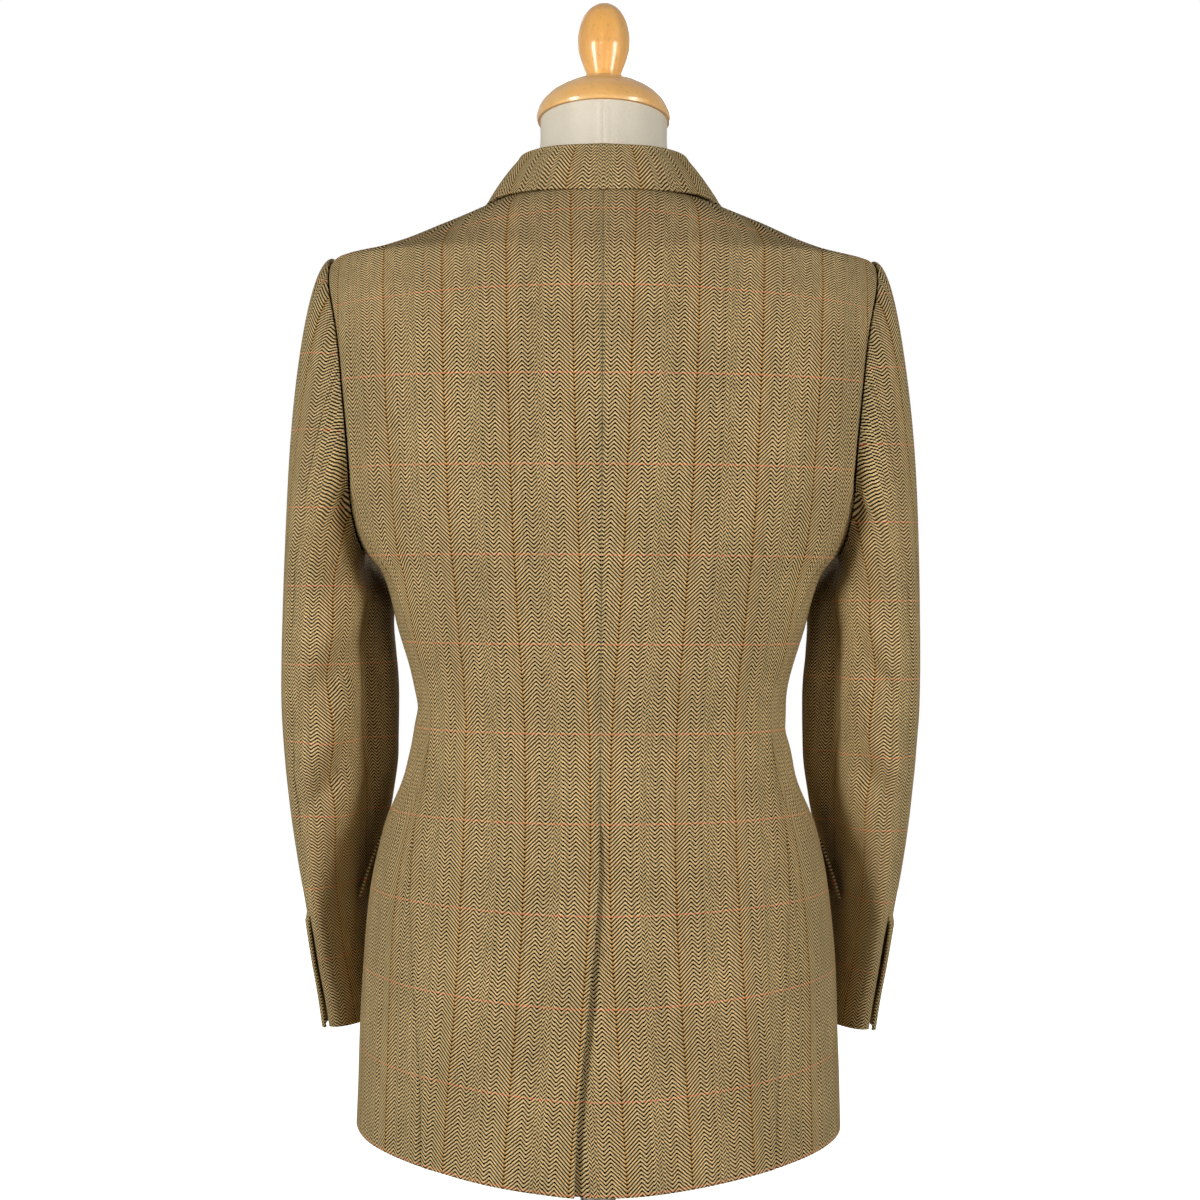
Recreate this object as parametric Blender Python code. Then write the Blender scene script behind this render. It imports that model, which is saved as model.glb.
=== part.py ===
"""A tweed jacket on a limbless dress form, with its back towards -Y.

All sizes here are millimetres; MM turns them into Blender's metres as each mesh is made.
The floor is z = 0, under the middle of the stand. +X is the wearer's right.
Angles round the body run from 0 at the centre back to 180 at the centre front.
"""

import math
from bisect import bisect_right
from collections import namedtuple

import bmesh
import bpy
from mathutils import Matrix, Vector

MM = 0.001

# Cloth and seams
CLOTH = 2.0
SEAM_GAP = 0.6
LAYER_GAP = 1.0
LAYER_DROP = CLOTH + LAYER_GAP

# Body sections, from the hem up to the neck seam. lift is how much higher a section
# runs at the sides than at the centre back; square is the superellipse exponent.
Section = namedtuple("Section", "name z half_width back front lift square")
SECTIONS = (
    Section("hem", 130, 190, 140, 124, 22, 2.2),
    Section("skirt", 235, 187, 137, 122, 15, 2.2),
    Section("seat", 326, 180, 130, 119, 7, 2.2),
    Section("hip", 381, 170, 121, 115, 3, 2.2),
    Section("high hip", 430, 153, 109, 112, 0, 2.2),
    Section("waist", 480, 145, 102, 111, 0, 2.2),
    Section("ribs", 543, 160, 108, 117, 0, 2.3),
    Section("low chest", 583, 172, 113, 123, 0, 2.4),
    Section("underarm", 600, 186, 115, 125, 0, 2.4),
    Section("chest", 650, 204, 120, 128, 0, 2.5),
    Section("blade", 732, 217, 121, 122, 0, 2.5),
    Section("upper back", 794, 218, 113, 101, 0, 2.5),
    Section("shoulder tip", 826, 213, 104, 84, 0, 2.4),
    Section("outer shoulder", 835, 181, 99, 76, 0, 2.3),
    Section("mid shoulder", 843.5, 156, 94, 70, 0, 2.2),
    Section("inner shoulder", 857, 125, 86, 62, 0, 2.2),
    Section("neck slope", 869, 97, 79, 55, 0, 2.1),
    Section("neck seam", 879, 73, 70, 50, 0, 2.0),
)
HEM_Z = SECTIONS[0].z
NECK_Z = SECTIONS[-1].z

# Armhole: an ellipse in side view, cut into the body
ARMHOLE_Y = 3
ARMHOLE_BOTTOM_Z = 600
ARMHOLE_TOP_Z = 826
ARMHOLE_HALF_WIDTH = 66

# Side seams: angles at the hem, and where each seam runs into the armhole
BACK_SEAM_HEM_ANGLE = 51
BACK_SEAM_TOP_Z = 645
FRONT_SEAM_HEM_ANGLE = 111
FRONT_SEAM_TOP_Z = 628

# Centre vent: the left back laps over an extension of the right back
VENT_TOP_Z = 388
VENT_SWING = 17
VENT_UNDERLAP = 34
VENT_EASE = 15
VENT_STEP = 9
VENT_CLEAR = 1.5
BACK_COLS = 10

# Front edge: overlap, cutaway quarter, rounded corner and the lapel's roll line
FRONT_OVERLAP = 18
CUTAWAY_TOP_Z = 400
CUTAWAY = 42
CORNER_RADIUS = 55
ROLL_LOW_Z = 505
ROLL_LOW_Q = -6
ROLL_TOP_Z = 868
ROLL_TOP_Q = 70
FRONT_TOP_Z = 872
NECK_EASE = 8
NECK_EASE_Z = 846
FRONT_DROP_WIDTH = 32
FRONT_DROP_END_Z = 580

# Lapel: from the break up to the gorge, with its corner out on the chest
LAPEL_BREAK_Z = 540
GORGE_Z = 836
LAPEL_CORNER_Q = 124
LAPEL_CORNER_Z = 792
LAPEL_BELLY = 9
LAPEL_OUT = LAYER_GAP + CLOTH + 0.7

# Collar stations from the centre back (0) to the gorge (1): the crease, the height of
# the stand below it, and where the leaf's edge lies on the body.
CollarStation = namedtuple("CollarStation", "s crease_x crease_y crease_z stand leaf_angle leaf_z")
COLLAR = (
    CollarStation(0.00, 0, -64, 910, 30, 0, 871),
    CollarStation(0.20, 36, -55, 910, 30, 38, 872),
    CollarStation(0.40, 61, -28, 909, 29, 72, 873),
    CollarStation(0.60, 67.5, 6, 898, 20, 100, 868),
    CollarStation(0.80, 68.5, 47, 875, 6, 118, 854),
    CollarStation(1.00, 64, 77, 843, 3, 128, 834),
)
FOLD_RADIUS = 2.8
LEAF_OUT = 4.4
LEAF_BULGE = 2.2
NOTCH_START = 0.55
NOTCH_OPENING = 9
STAND_LEAN = 6

# Sleeve sections below the armhole: the outermost x, half the width across and half the
# depth front to back, the middle of the depth, the turn of the oval's front inwards, and
# the depth of the hollow behind the inner side.
SleeveSection = namedtuple("SleeveSection", "z outer_x half_width half_depth middle_y turn hollow")
SLEEVE = (
    SleeveSection(560, 247.5, 35.4, 70, 2, 16, 7),
    SleeveSection(523, 247.5, 36.4, 69, 2, 21, 13),
    SleeveSection(483, 247.5, 36.7, 68, 4, 22, 14),
    SleeveSection(443, 246, 35.6, 66, 9, 22, 12),
    SleeveSection(403, 243, 31.7, 64, 17, 20, 8),
    SleeveSection(361, 238, 24.1, 63, 29, 17, 3),
    SleeveSection(318, 232, 19.5, 62, 41, 15, 0),
    SleeveSection(276, 227, 18.7, 61, 52, 15, 0),
    SleeveSection(240, 222, 18.3, 60, 61, 15, 0),
    SleeveSection(223, 220, 18, 59.5, 64.5, 15, 0),
)
HOLLOW_AT = 185
HOLLOW_WIDTH = 18
HOLLOW_TOP_Z = 615
HOLLOW_EASE = 50
CUFF_Z = SLEEVE[-1].z
BICEP_Z = SLEEVE[0].z
SLEEVE_INSET = 0.6
SLEEVE_OUTSET = 0.7
UNDERARM_OUTSET = 1.6
HEAD_PUSH_TOP = 70
HEAD_PUSH_LOW = 14
HEAD_FALL_TOP = 4
HEAD_RAISE = 5.5
HEAD_SETTLE = 0.95
HINDARM_SEAM = 282
FOREARM_SEAM = 135
CUFF_VENT_Z = 318
CUFF_VENT_LIFT = 3.2
CUFF_VENT_WIDTH = 40

# The sleeve's largest folds: height and direction round the sleeve of the middle,
# slope (height per degree), half-length in degrees, half-width and depth.
Fold = namedtuple("Fold", "z angle slope half_length half_width depth")
SLEEVE_FOLDS = (
    Fold(612, 262, 0.35, 42, 16, -7.0),
    Fold(545, 225, -0.9, 48, 17, 4.0),
    Fold(500, 238, -0.9, 50, 15, -4.5),
    Fold(458, 240, -0.9, 52, 17, 4.0),
    Fold(420, 240, -0.9, 44, 15, -3.5),
)

# Pocket flaps
FLAP_TOP_Z = 370
FLAP_LOW_Z = 318
FLAP_REAR_ANGLE = 93
FLAP_FRONT_ANGLE = 141
FLAP_FLARE = 3.6
FLAP_FLARE_REAR = 4.6

# Front buttons
BUTTON_Z = (505, 400)
BUTTON_RADIUS = 10.5
BUTTON_THICKNESS = 4.0
BUTTON_RIM = 1.6
BUTTON_DISH = 0.9
BUTTON_CLEAR = 0.7

# Dress form
FORM_BOTTOM_Z = 166
FORM_GAP = 12
FORM_TOP_Z = 879
NeckSection = namedtuple("NeckSection", "z half_width half_depth middle_y")
FORM_NECK = (
    NeckSection(892, 56.5, 54.5, -4),
    NeckSection(908, 52, 52, -2),
    NeckSection(925, 50, 50, 0),
    NeckSection(941, 50, 50, 2),
)
NECK_TILT = 7.5
CAP_GAP = 0.4
TurnedPoint = namedtuple("TurnedPoint", "height radius")
CAP_PROFILE = (
    TurnedPoint(0, 52.2),
    TurnedPoint(3, 53),
    TurnedPoint(10, 51.2),
    TurnedPoint(18, 45.6),
    TurnedPoint(25, 36.4),
    TurnedPoint(30.5, 25),
    TurnedPoint(33.6, 16),
    TurnedPoint(34.4, 13.8),
)
FINIAL_PROFILE = (
    TurnedPoint(0, 13.4),
    TurnedPoint(3, 13.7),
    TurnedPoint(9.5, 15.8),
    TurnedPoint(17.5, 18.6),
    TurnedPoint(26, 20.6),
    TurnedPoint(33.5, 20.9),
    TurnedPoint(42, 19.8),
    TurnedPoint(50, 17.2),
    TurnedPoint(56.5, 13),
    TurnedPoint(60.5, 8.2),
    TurnedPoint(62.8, 3),
)
POLE_RADIUS = 14
BASE_RADIUS = 150
BASE_THICKNESS = 16
BASE_BEVEL = 4

# Colours: linear red, green and blue, then roughness
TWEED = (0.31, 0.215, 0.09, 0.95)
HORN = (0.06, 0.03, 0.014, 0.35)
BEECH = (0.72, 0.36, 0.1, 0.3)
LINEN = (0.78, 0.68, 0.5, 0.9)
STEEL = (0.5, 0.49, 0.47, 0.4)


def curve_through(xs, ys):
    """A smooth curve through the given points that never overshoots them."""
    steps = [b - a for a, b in zip(xs, xs[1:])]
    rises = [(b - a) / h for a, b, h in zip(ys, ys[1:], steps)]
    slopes = [rises[0]]
    for i in range(1, len(xs) - 1):
        before, after = rises[i - 1], rises[i]
        if before * after <= 0:
            slopes.append(0.0)
            continue
        near = 2 * steps[i] + steps[i - 1]
        far = steps[i] + 2 * steps[i - 1]
        slopes.append((near + far) / (near / before + far / after))
    slopes.append(rises[-1])

    def at(x):
        x = min(max(x, xs[0]), xs[-1])
        i = min(bisect_right(xs, x) - 1, len(steps) - 1)
        h = steps[i]
        t = (x - xs[i]) / h
        return (
            ys[i] * (1 + 2 * t) * (1 - t) ** 2
            + h * slopes[i] * t * (1 - t) ** 2
            + ys[i + 1] * t * t * (3 - 2 * t)
            + h * slopes[i + 1] * t * t * (t - 1)
        )

    return at


def columns(table, key):
    """A curve for every other numeric column of a table, against its key column."""
    rows = sorted(table, key=lambda row: getattr(row, key))
    xs = [getattr(row, key) for row in rows]
    names = [f for f in rows[0]._fields if f not in (key, "name")]
    return {f: curve_through(xs, [getattr(row, f) for row in rows]) for f in names}


BODY = columns(SECTIONS, "z")
ARM = columns(SLEEVE, "z")
COLLAR_AT = columns(COLLAR, "s")


def mix(a, b, t):
    return a + (b - a) * t


def smooth(t):
    """0 below 0, 1 above 1, and an S-curve between."""
    t = min(max(t, 0.0), 1.0)
    return t * t * (3 - 2 * t)


def levels(*bands):
    """Heights from (start, rows) pairs; the last pair's start closes the list."""
    found = []
    for (low, rows), (high, _) in zip(bands, bands[1:]):
        found += [mix(low, high, i / rows) for i in range(rows)]
    return found + [bands[-1][0]]


# Body surface


def body_point(z, angle):
    """A point of the cloth's outer side, at a section's height and an angle in degrees."""
    turn = math.radians(angle)
    across, along = math.sin(turn), math.cos(turn)
    depth = BODY["back"](z) if along > 0 else BODY["front"](z)
    n = BODY["square"](z)
    reach = ((abs(across) / BODY["half_width"](z)) ** n + (abs(along) / depth) ** n) ** (-1 / n)
    return Vector((reach * across, -reach * along, z + BODY["lift"](z) * across * across))


def body_normal(z, angle):
    round_it = body_point(z, angle + 0.5) - body_point(z, angle - 0.5)
    up = body_point(min(z + 1, NECK_Z), angle) - body_point(max(z - 1, HEM_Z), angle)
    return round_it.cross(up).normalized()


def body_at(z, angle, out=0.0):
    """A body point moved out along the surface's normal, and that normal."""
    normal = body_normal(z, angle)
    return body_point(z, angle) + normal * out, normal


def angle_at_x(z, x, facing_front):
    """The angle where a section reaches a distance x from the middle."""
    depth = BODY["front" if facing_front else "back"](z)
    n = BODY["square"](z)
    share = min(abs(x) / BODY["half_width"](z), 1.0)
    y = depth * (1 - share**n) ** (1 / n)
    angle = math.degrees(math.atan2(x, y))
    return 180 - angle if facing_front else angle


def angle_at_y(z, y):
    """The angle where a section reaches a depth y, on the wearer's right."""
    depth = BODY["back"](z) if y < 0 else BODY["front"](z)
    n = BODY["square"](z)
    share = min(abs(y) / depth, 1.0)
    x = BODY["half_width"](z) * (1 - share**n) ** (1 / n)
    return math.degrees(math.atan2(x, -y))


def gap_angle(z, angle):
    """Half a seam gap as an angle."""
    point = body_point(z, angle)
    return math.degrees(SEAM_GAP / 2 / math.hypot(point.x, point.y))


def armhole_y(z, sign):
    """Depth of the armhole's back (-1) or front (+1) edge at a height."""
    half_height = (ARMHOLE_TOP_Z - ARMHOLE_BOTTOM_Z) / 2
    share = (z - ARMHOLE_BOTTOM_Z) / half_height - 1
    return ARMHOLE_Y + sign * ARMHOLE_HALF_WIDTH * math.sqrt(max(0.0, 1 - share * share))


def armhole_z(y):
    """Height of the armhole's lower edge at a depth."""
    half_height = (ARMHOLE_TOP_Z - ARMHOLE_BOTTOM_Z) / 2
    share = min(abs(y - ARMHOLE_Y) / ARMHOLE_HALF_WIDTH, 1.0)
    return ARMHOLE_BOTTOM_Z + half_height * (1 - math.sqrt(1 - share * share))


def seam_angle(z, hem_angle, top_z, sign):
    top_angle = angle_at_y(top_z, armhole_y(top_z, sign))
    return mix(hem_angle, top_angle, smooth((z - HEM_Z) / (top_z - HEM_Z)))


def back_seam(z):
    return seam_angle(z, BACK_SEAM_HEM_ANGLE, BACK_SEAM_TOP_Z, -1)


def front_seam(z):
    return seam_angle(z, FRONT_SEAM_HEM_ANGLE, FRONT_SEAM_TOP_Z, 1)


def outer_edge(z, seam, seam_top_z, sign):
    """A panel's sleeve-side edge: side seam, then armhole, then shoulder seam."""
    if z < seam_top_z:
        angle = seam(z)
    elif z < ARMHOLE_TOP_Z:
        angle = angle_at_y(z, armhole_y(z, sign))
    else:
        angle = 90.0
    return angle + sign * gap_angle(z, angle)


# Cloth walls


def material(name, colour):
    made = bpy.data.materials.get(name) or bpy.data.materials.new(name)
    made.use_nodes = True
    shader = made.node_tree.nodes["Principled BSDF"]
    shader.inputs["Base Color"].default_value = (*colour[:3], 1)
    shader.inputs["Roughness"].default_value = colour[3]
    shader.inputs["Metallic"].default_value = 0
    return made


def add_object(name, bm, colour_name, colour):
    """Makes an object of a mesh in millimetres."""
    bmesh.ops.recalc_face_normals(bm, faces=bm.faces)
    if bm.calc_volume(signed=True) < 0:
        bmesh.ops.reverse_faces(bm, faces=bm.faces)
    bmesh.ops.scale(bm, vec=(MM, MM, MM), verts=bm.verts)
    mesh = bpy.data.meshes.new(name)
    bm.to_mesh(mesh)
    bm.free()
    mesh.shade_smooth()
    mesh.set_sharp_from_angle(angle=math.radians(50))
    mesh.materials.append(material(colour_name, colour))
    made = bpy.data.objects.new(name, mesh)
    bpy.context.scene.collection.objects.link(made)
    return made


def cloth_wall(name, rows, cols, place, side=1, thickness=CLOTH):
    """A closed wall of cloth. place(row, col), each from 0 to 1, gives a point of the
    outer side and its normal on the wearer's right; side -1 mirrors it to the left."""
    bm = bmesh.new()
    bmesh.ops.create_grid(bm, x_segments=cols, y_segments=rows, size=0.5)
    row_of = bm.verts.layers.float.new("row")
    col_of = bm.verts.layers.float.new("col")
    for v in bm.verts:
        v[col_of] = v.co.x + 0.5
        v[row_of] = v.co.y + 0.5
    inner = set(bm.verts)
    bmesh.ops.extrude_face_region(bm, geom=bm.faces[:], use_keep_orig=True)
    for v in bm.verts:
        point, normal = place(v[row_of], v[col_of])
        if v in inner:
            point = point - normal * thickness
        v.co = (side * point.x, point.y, point.z)
    return add_object(name, bm, "tweed", TWEED)


def level_at(zs, row):
    """The height of a row of a panel, from its list of levels."""
    place = row * (len(zs) - 1)
    i = min(int(place + 1e-6), len(zs) - 2)
    return mix(zs[i], zs[i + 1], place - i)


def spread(stops, at, place):
    """A value between stops that sit at the given places along a panel."""
    i = 0
    while i < len(at) - 2 and place > at[i + 1]:
        i += 1
    return mix(stops[i], stops[i + 1], (place - at[i]) / (at[i + 1] - at[i]))


# Backs and side bodies


def vent_swing(z):
    """How far the left back's vent edge has swung from the centre."""
    return VENT_SWING * smooth((VENT_TOP_Z - z) / (VENT_TOP_Z - HEM_Z)) if z < VENT_TOP_Z else 0


def back_panel(name, side):
    """A back half. The left (-1) laps over the right's extension below the vent's top."""
    zs = levels(
        (HEM_Z, 6),
        (350, 3),
        (VENT_TOP_Z, 3),
        (415, 6),
        (BACK_SEAM_TOP_Z, 5),
        (790, 3),
        (ARMHOLE_TOP_Z, 4),
        (NECK_Z, 0),
    )

    def place(row, col):
        z = level_at(zs, row)
        start = SEAM_GAP / 2
        if side < 0:
            start += vent_swing(z)
        else:
            start -= (VENT_UNDERLAP + vent_swing(z)) * smooth((VENT_TOP_Z - z) / VENT_EASE)
        last = outer_edge(z, back_seam, BACK_SEAM_TOP_Z, -1)
        if side < 0:
            angle = mix(angle_at_x(z, start, False), last, col)
        else:
            tuck_q = VENT_CLEAR - vent_swing(z)
            stops = [angle_at_x(z, q, False) for q in (start, tuck_q, tuck_q + VENT_STEP)]
            angle = spread(stops + [last], (0, 2, 3, BACK_COLS), col * BACK_COLS)
        out = 0.0
        if side > 0:
            past_edge = body_point(z, angle).x + vent_swing(z)
            lifted = smooth((VENT_STEP + VENT_CLEAR - past_edge) / VENT_STEP)
            out = -LAYER_DROP * lifted * smooth((VENT_TOP_Z + VENT_EASE - z) / VENT_EASE)
        return body_at(z, angle, out)

    return cloth_wall(name, len(zs) - 1, BACK_COLS, place, side)


def side_panel(name, side):
    """The side body, between the back's and the front's seams, up to the armhole."""

    def angle_at(z, col):
        first, last = back_seam(z), front_seam(z)
        return mix(first + gap_angle(z, first), last - gap_angle(z, last), col)

    def place(row, col):
        top = ARMHOLE_BOTTOM_Z
        for _ in range(12):
            top = armhole_z(body_point(top, angle_at(top, col)).y)
        z = mix(HEM_Z, top, row)
        return body_at(z, angle_at(z, col))

    return cloth_wall(name, 16, 6, place, side)


# Fronts and lapels


def roll_q(z):
    """Distance of the roll line from the centre front."""
    return mix(ROLL_LOW_Q, ROLL_TOP_Q, (z - ROLL_LOW_Z) / (ROLL_TOP_Z - ROLL_LOW_Z))


def front_edge_q(z):
    """Distance of a front's edge from the centre front; negative is past the centre."""
    if z > ROLL_LOW_Z:
        return roll_q(z) + NECK_EASE * smooth((z - NECK_EASE_Z) / (FRONT_TOP_Z - NECK_EASE_Z))
    edge = -FRONT_OVERLAP
    if z > CUTAWAY_TOP_Z:
        return mix(edge, ROLL_LOW_Q, smooth((z - CUTAWAY_TOP_Z) / (ROLL_LOW_Z - CUTAWAY_TOP_Z)))
    edge += CUTAWAY * ((CUTAWAY_TOP_Z - z) / (CUTAWAY_TOP_Z - HEM_Z)) ** 2
    above_hem = z - HEM_Z
    if above_hem < CORNER_RADIUS:
        edge += CORNER_RADIUS - math.sqrt(CORNER_RADIUS**2 - (CORNER_RADIUS - above_hem) ** 2)
    return edge


def front_drop(z, q, side):
    """The right front (+1) lies a layer lower where the left laps over it."""
    if side < 0:
        return 0.0
    near = smooth((FRONT_DROP_WIDTH - q) / (FRONT_DROP_WIDTH / 2))
    return -LAYER_DROP * near * smooth((FRONT_DROP_END_Z - z) / (FRONT_DROP_END_Z - LAPEL_BREAK_Z))


def front_panel(name, side):
    zs = levels(
        (HEM_Z, 3),
        (145, 2),
        (190, 6),
        (CUTAWAY_TOP_Z, 3),
        (ROLL_LOW_Z, 3),
        (FRONT_SEAM_TOP_Z, 5),
        (790, 3),
        (ARMHOLE_TOP_Z, 3),
        (FRONT_TOP_Z, 0),
    )

    def place(row, col):
        z = level_at(zs, row)
        first = outer_edge(z, front_seam, FRONT_SEAM_TOP_Z, 1)
        last = angle_at_x(z, front_edge_q(z), True)
        angle = mix(first, last, col)
        return body_at(z, angle, front_drop(z, body_point(z, angle).x, side))

    return cloth_wall(name, len(zs) - 1, 9, place, side)


def front_at(z, q, side, out):
    """A point over a front, given its height and distance from the centre."""
    return body_at(z, angle_at_x(z, q, True), out + front_drop(z, q, side))


def lapel(name, side):
    """The turned-back lapel, lying on its front from the break to the gorge."""

    def place(row, col):
        inner_z = mix(LAPEL_BREAK_Z, GORGE_Z, row)
        inner_q = roll_q(inner_z) + SEAM_GAP
        outer_z = mix(LAPEL_BREAK_Z, LAPEL_CORNER_Z, row)
        outer_q = mix(roll_q(LAPEL_BREAK_Z) + 4, LAPEL_CORNER_Q, row)
        outer_q += LAPEL_BELLY * math.sin(math.pi * row)
        return front_at(mix(inner_z, outer_z, col), mix(inner_q, outer_q, col), side, LAPEL_OUT)

    return cloth_wall(name, 13, 5, place, side)


# Collar


def collar_section(s):
    """Points across the collar at a station: up the stand, over the crease, down the leaf."""
    side = 1 if s >= 0 else -1
    at = {name: curve(abs(s)) for name, curve in COLLAR_AT.items()}
    crease = Vector((at["crease_x"], at["crease_y"], at["crease_z"]))
    leaf_edge, leaf_normal = body_at(at["leaf_z"], at["leaf_angle"], LEAF_OUT)
    outwards = Vector((crease.x, crease.y, 0)).normalized()
    if abs(s) > 0.6:
        sideways = Vector((1, 0, 0))
        outwards = outwards.lerp(sideways, smooth((abs(s) - 0.6) / 0.4)).normalized()
    drop = Vector((0, 0, -1))
    foot = crease + drop * at["stand"] + outwards * (STAND_LEAN * at["stand"] / COLLAR[0].stand)
    points = [
        foot - outwards * FOLD_RADIUS,
        foot.lerp(crease, 0.5) - outwards * FOLD_RADIUS,
        crease + drop * FOLD_RADIUS - outwards * FOLD_RADIUS,
        crease + drop * 0.6 - outwards * (0.8 * FOLD_RADIUS),
        crease,
        crease + drop * 0.6 + outwards * (0.8 * FOLD_RADIUS),
        crease + drop * FOLD_RADIUS + outwards * (1.2 * FOLD_RADIUS),
    ]
    top = points[-1]
    for f in (0.35, 0.7, 1.0):
        point = top.lerp(leaf_edge, f) + leaf_normal * (LEAF_BULGE * math.sin(math.pi * f))
        notch = smooth((abs(s) - 0.9) / 0.1) * max(0.0, f - NOTCH_START) / (1 - NOTCH_START)
        point.z += NOTCH_OPENING * notch
        points.append(point)
    return [Vector((side * p.x, p.y, p.z)) for p in points]


def collar(name):
    stations, across = 24, 9
    grid = [collar_section(mix(-1, 1, i / stations)) for i in range(stations + 1)]

    def place(row, col):
        i, j = round(row * stations), round(col * across)
        along = grid[min(i + 1, stations)][j] - grid[max(i - 1, 0)][j]
        over = grid[i][min(j + 1, across)] - grid[i][max(j - 1, 0)]
        return grid[i][j], over.cross(along).normalized()

    return cloth_wall(name, stations, across, place)


# Sleeves


def armhole_point(direction):
    """A point of the sleeve's seam, by its direction round the armhole: 0 at the top,
    90 at the front, 180 at the underarm and 270 at the back."""
    turn = math.radians(direction)
    half_height = (ARMHOLE_TOP_Z - ARMHOLE_BOTTOM_Z) / 2
    z = ARMHOLE_BOTTOM_Z + half_height + (half_height - SLEEVE_INSET) * math.cos(turn)
    y = ARMHOLE_Y + (ARMHOLE_HALF_WIDTH - SLEEVE_INSET) * math.sin(turn)
    raised = HEAD_RAISE * smooth((math.cos(turn) - 0.78) / 0.22)
    outset = mix(SLEEVE_OUTSET, UNDERARM_OUTSET, (1 - math.cos(turn)) / 2)
    return body_point(z, angle_at_y(z, y)) + Vector((outset, 0, raised))


def arm_point(z, direction):
    """A point of the sleeve's outer side below the armhole."""
    turn = math.radians(direction)
    lean = math.radians(ARM["turn"](z))
    half_width, half_depth = ARM["half_width"](z), ARM["half_depth"](z)
    across, along = half_width * math.cos(turn), half_depth * math.sin(turn)
    x = across * math.cos(lean) - along * math.sin(lean)
    y = across * math.sin(lean) + along * math.cos(lean)
    reach = math.hypot(half_width * math.cos(lean), half_depth * math.sin(lean))
    return Vector((ARM["outer_x"](z) - reach + x, ARM["middle_y"](z) + y, z))


def sleeve_point(t, direction):
    """A point of the sleeve: t from 0 at the armhole to 1 at the top of the arm, then on
    to 2 at the cuff. direction runs round it as it does round the armhole."""
    if t >= 1:
        return arm_point(mix(BICEP_Z, CUFF_Z, t - 1), direction)
    start, end = armhole_point(direction), arm_point(BICEP_Z, direction)
    height = (1 + math.cos(math.radians(direction))) / 2
    fall = start.z - end.z
    push = Vector((mix(HEAD_PUSH_LOW, HEAD_PUSH_TOP, height), 0, -mix(fall, HEAD_FALL_TOP, height)))
    settle = (arm_point(BICEP_Z - 1, direction) - end) * fall * HEAD_SETTLE
    return (
        start * (1 + 2 * t) * (1 - t) ** 2
        + push * t * (1 - t) ** 2
        + end * t * t * (3 - 2 * t)
        + settle * t * t * (t - 1)
    )


def fold_depth(point, direction):
    """How far the folds and the hollow move a point of the sleeve out (positive) or in."""
    sunk = ARM["hollow"](point.z) * smooth((HOLLOW_TOP_Z - point.z) / HOLLOW_EASE)
    moved = -sunk * math.exp(-(((direction - HOLLOW_AT) / HOLLOW_WIDTH) ** 2))
    for fold in SLEEVE_FOLDS:
        round_it = (direction - fold.angle) / fold.half_length
        if abs(round_it) >= 1:
            continue
        off = (point.z - fold.z - fold.slope * (direction - fold.angle)) / fold.half_width
        moved += fold.depth * math.exp(-off * off) * (1 - round_it * round_it) ** 2
    return moved


def sleeve_at(t, direction, out=0.0):
    """A sleeve point with its folds, moved out along the normal, and that normal."""
    point = sleeve_point(t, direction)
    down = sleeve_point(min(t + 0.01, 2), direction) - sleeve_point(max(t - 0.01, 0), direction)
    round_it = sleeve_point(t, direction + 0.5) - sleeve_point(t, direction - 0.5)
    normal = down.cross(round_it).normalized()
    away = smooth(t / 0.35)
    return point + normal * (out + away * fold_depth(point, direction % 360)), normal


def cuff_lift(point, direction):
    """The top sleeve's edge stands off the under sleeve's along the cuff vent."""
    from_seam = (direction - HINDARM_SEAM) % 360
    near = smooth((CUFF_VENT_WIDTH - from_seam) / CUFF_VENT_WIDTH)
    return CUFF_VENT_LIFT * near * smooth((CUFF_VENT_Z - point.z) / 8)


def sleeve_half(name, side, first, last, cols, lifted):
    """One of a sleeve's two pieces, between two seams given as directions."""
    ts = levels((0, 2), (0.12, 5), (1, 9), (1.68, 2), (1.74, 3), (2, 0))

    def place(row, col):
        t = level_at(ts, row)
        across = math.radians(1) * max(ARM["half_width"](max(sleeve_point(t, 0).z, CUFF_Z)), 30)
        gap = SEAM_GAP / 2 / across
        direction = mix(first + gap, last - gap, col)
        out = cuff_lift(sleeve_point(t, direction), direction) if lifted else 0.0
        return sleeve_at(t, direction, out)

    return cloth_wall(name, len(ts) - 1, cols, place, side)


# Flaps and buttons


def pocket_flap(name, side):
    """A flap over the hip pocket, flaring from the body at its lower edge and rear end."""

    def place(row, col):
        z = mix(FLAP_LOW_Z, FLAP_TOP_Z, row)
        angle = mix(FLAP_REAR_ANGLE, FLAP_FRONT_ANGLE, col)
        flare = FLAP_FLARE * (1 - row) + FLAP_FLARE_REAR * (1 - row) * (1 - col) ** 3
        point, normal = body_at(z, angle, LAYER_GAP + CLOTH + flare)
        return point, normal

    return cloth_wall(name, 5, 8, place, side)


def button(name, z):
    """A dished front button, turned about its own axis and laid on the left front."""
    seat, normal = body_at(z, 180, BUTTON_CLEAR)
    top = BUTTON_THICKNESS
    profile = (
        (0, 0),
        (BUTTON_RADIUS - BUTTON_RIM, 0),
        (BUTTON_RADIUS, top / 2),
        (BUTTON_RADIUS - BUTTON_RIM / 2, top),
        (BUTTON_RADIUS - BUTTON_RIM, top),
        (BUTTON_RADIUS - 2 * BUTTON_RIM, top - BUTTON_DISH),
        (0, top - BUTTON_DISH),
    )
    bm = turned_mesh(profile, 16)
    facing = Vector((0, 0, 1)).rotation_difference(normal).to_matrix().to_4x4()
    bmesh.ops.transform(bm, matrix=Matrix.Translation(seat) @ facing, verts=bm.verts)
    return add_object(name, bm, "horn", HORN)


# Dress form and stand


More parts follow.
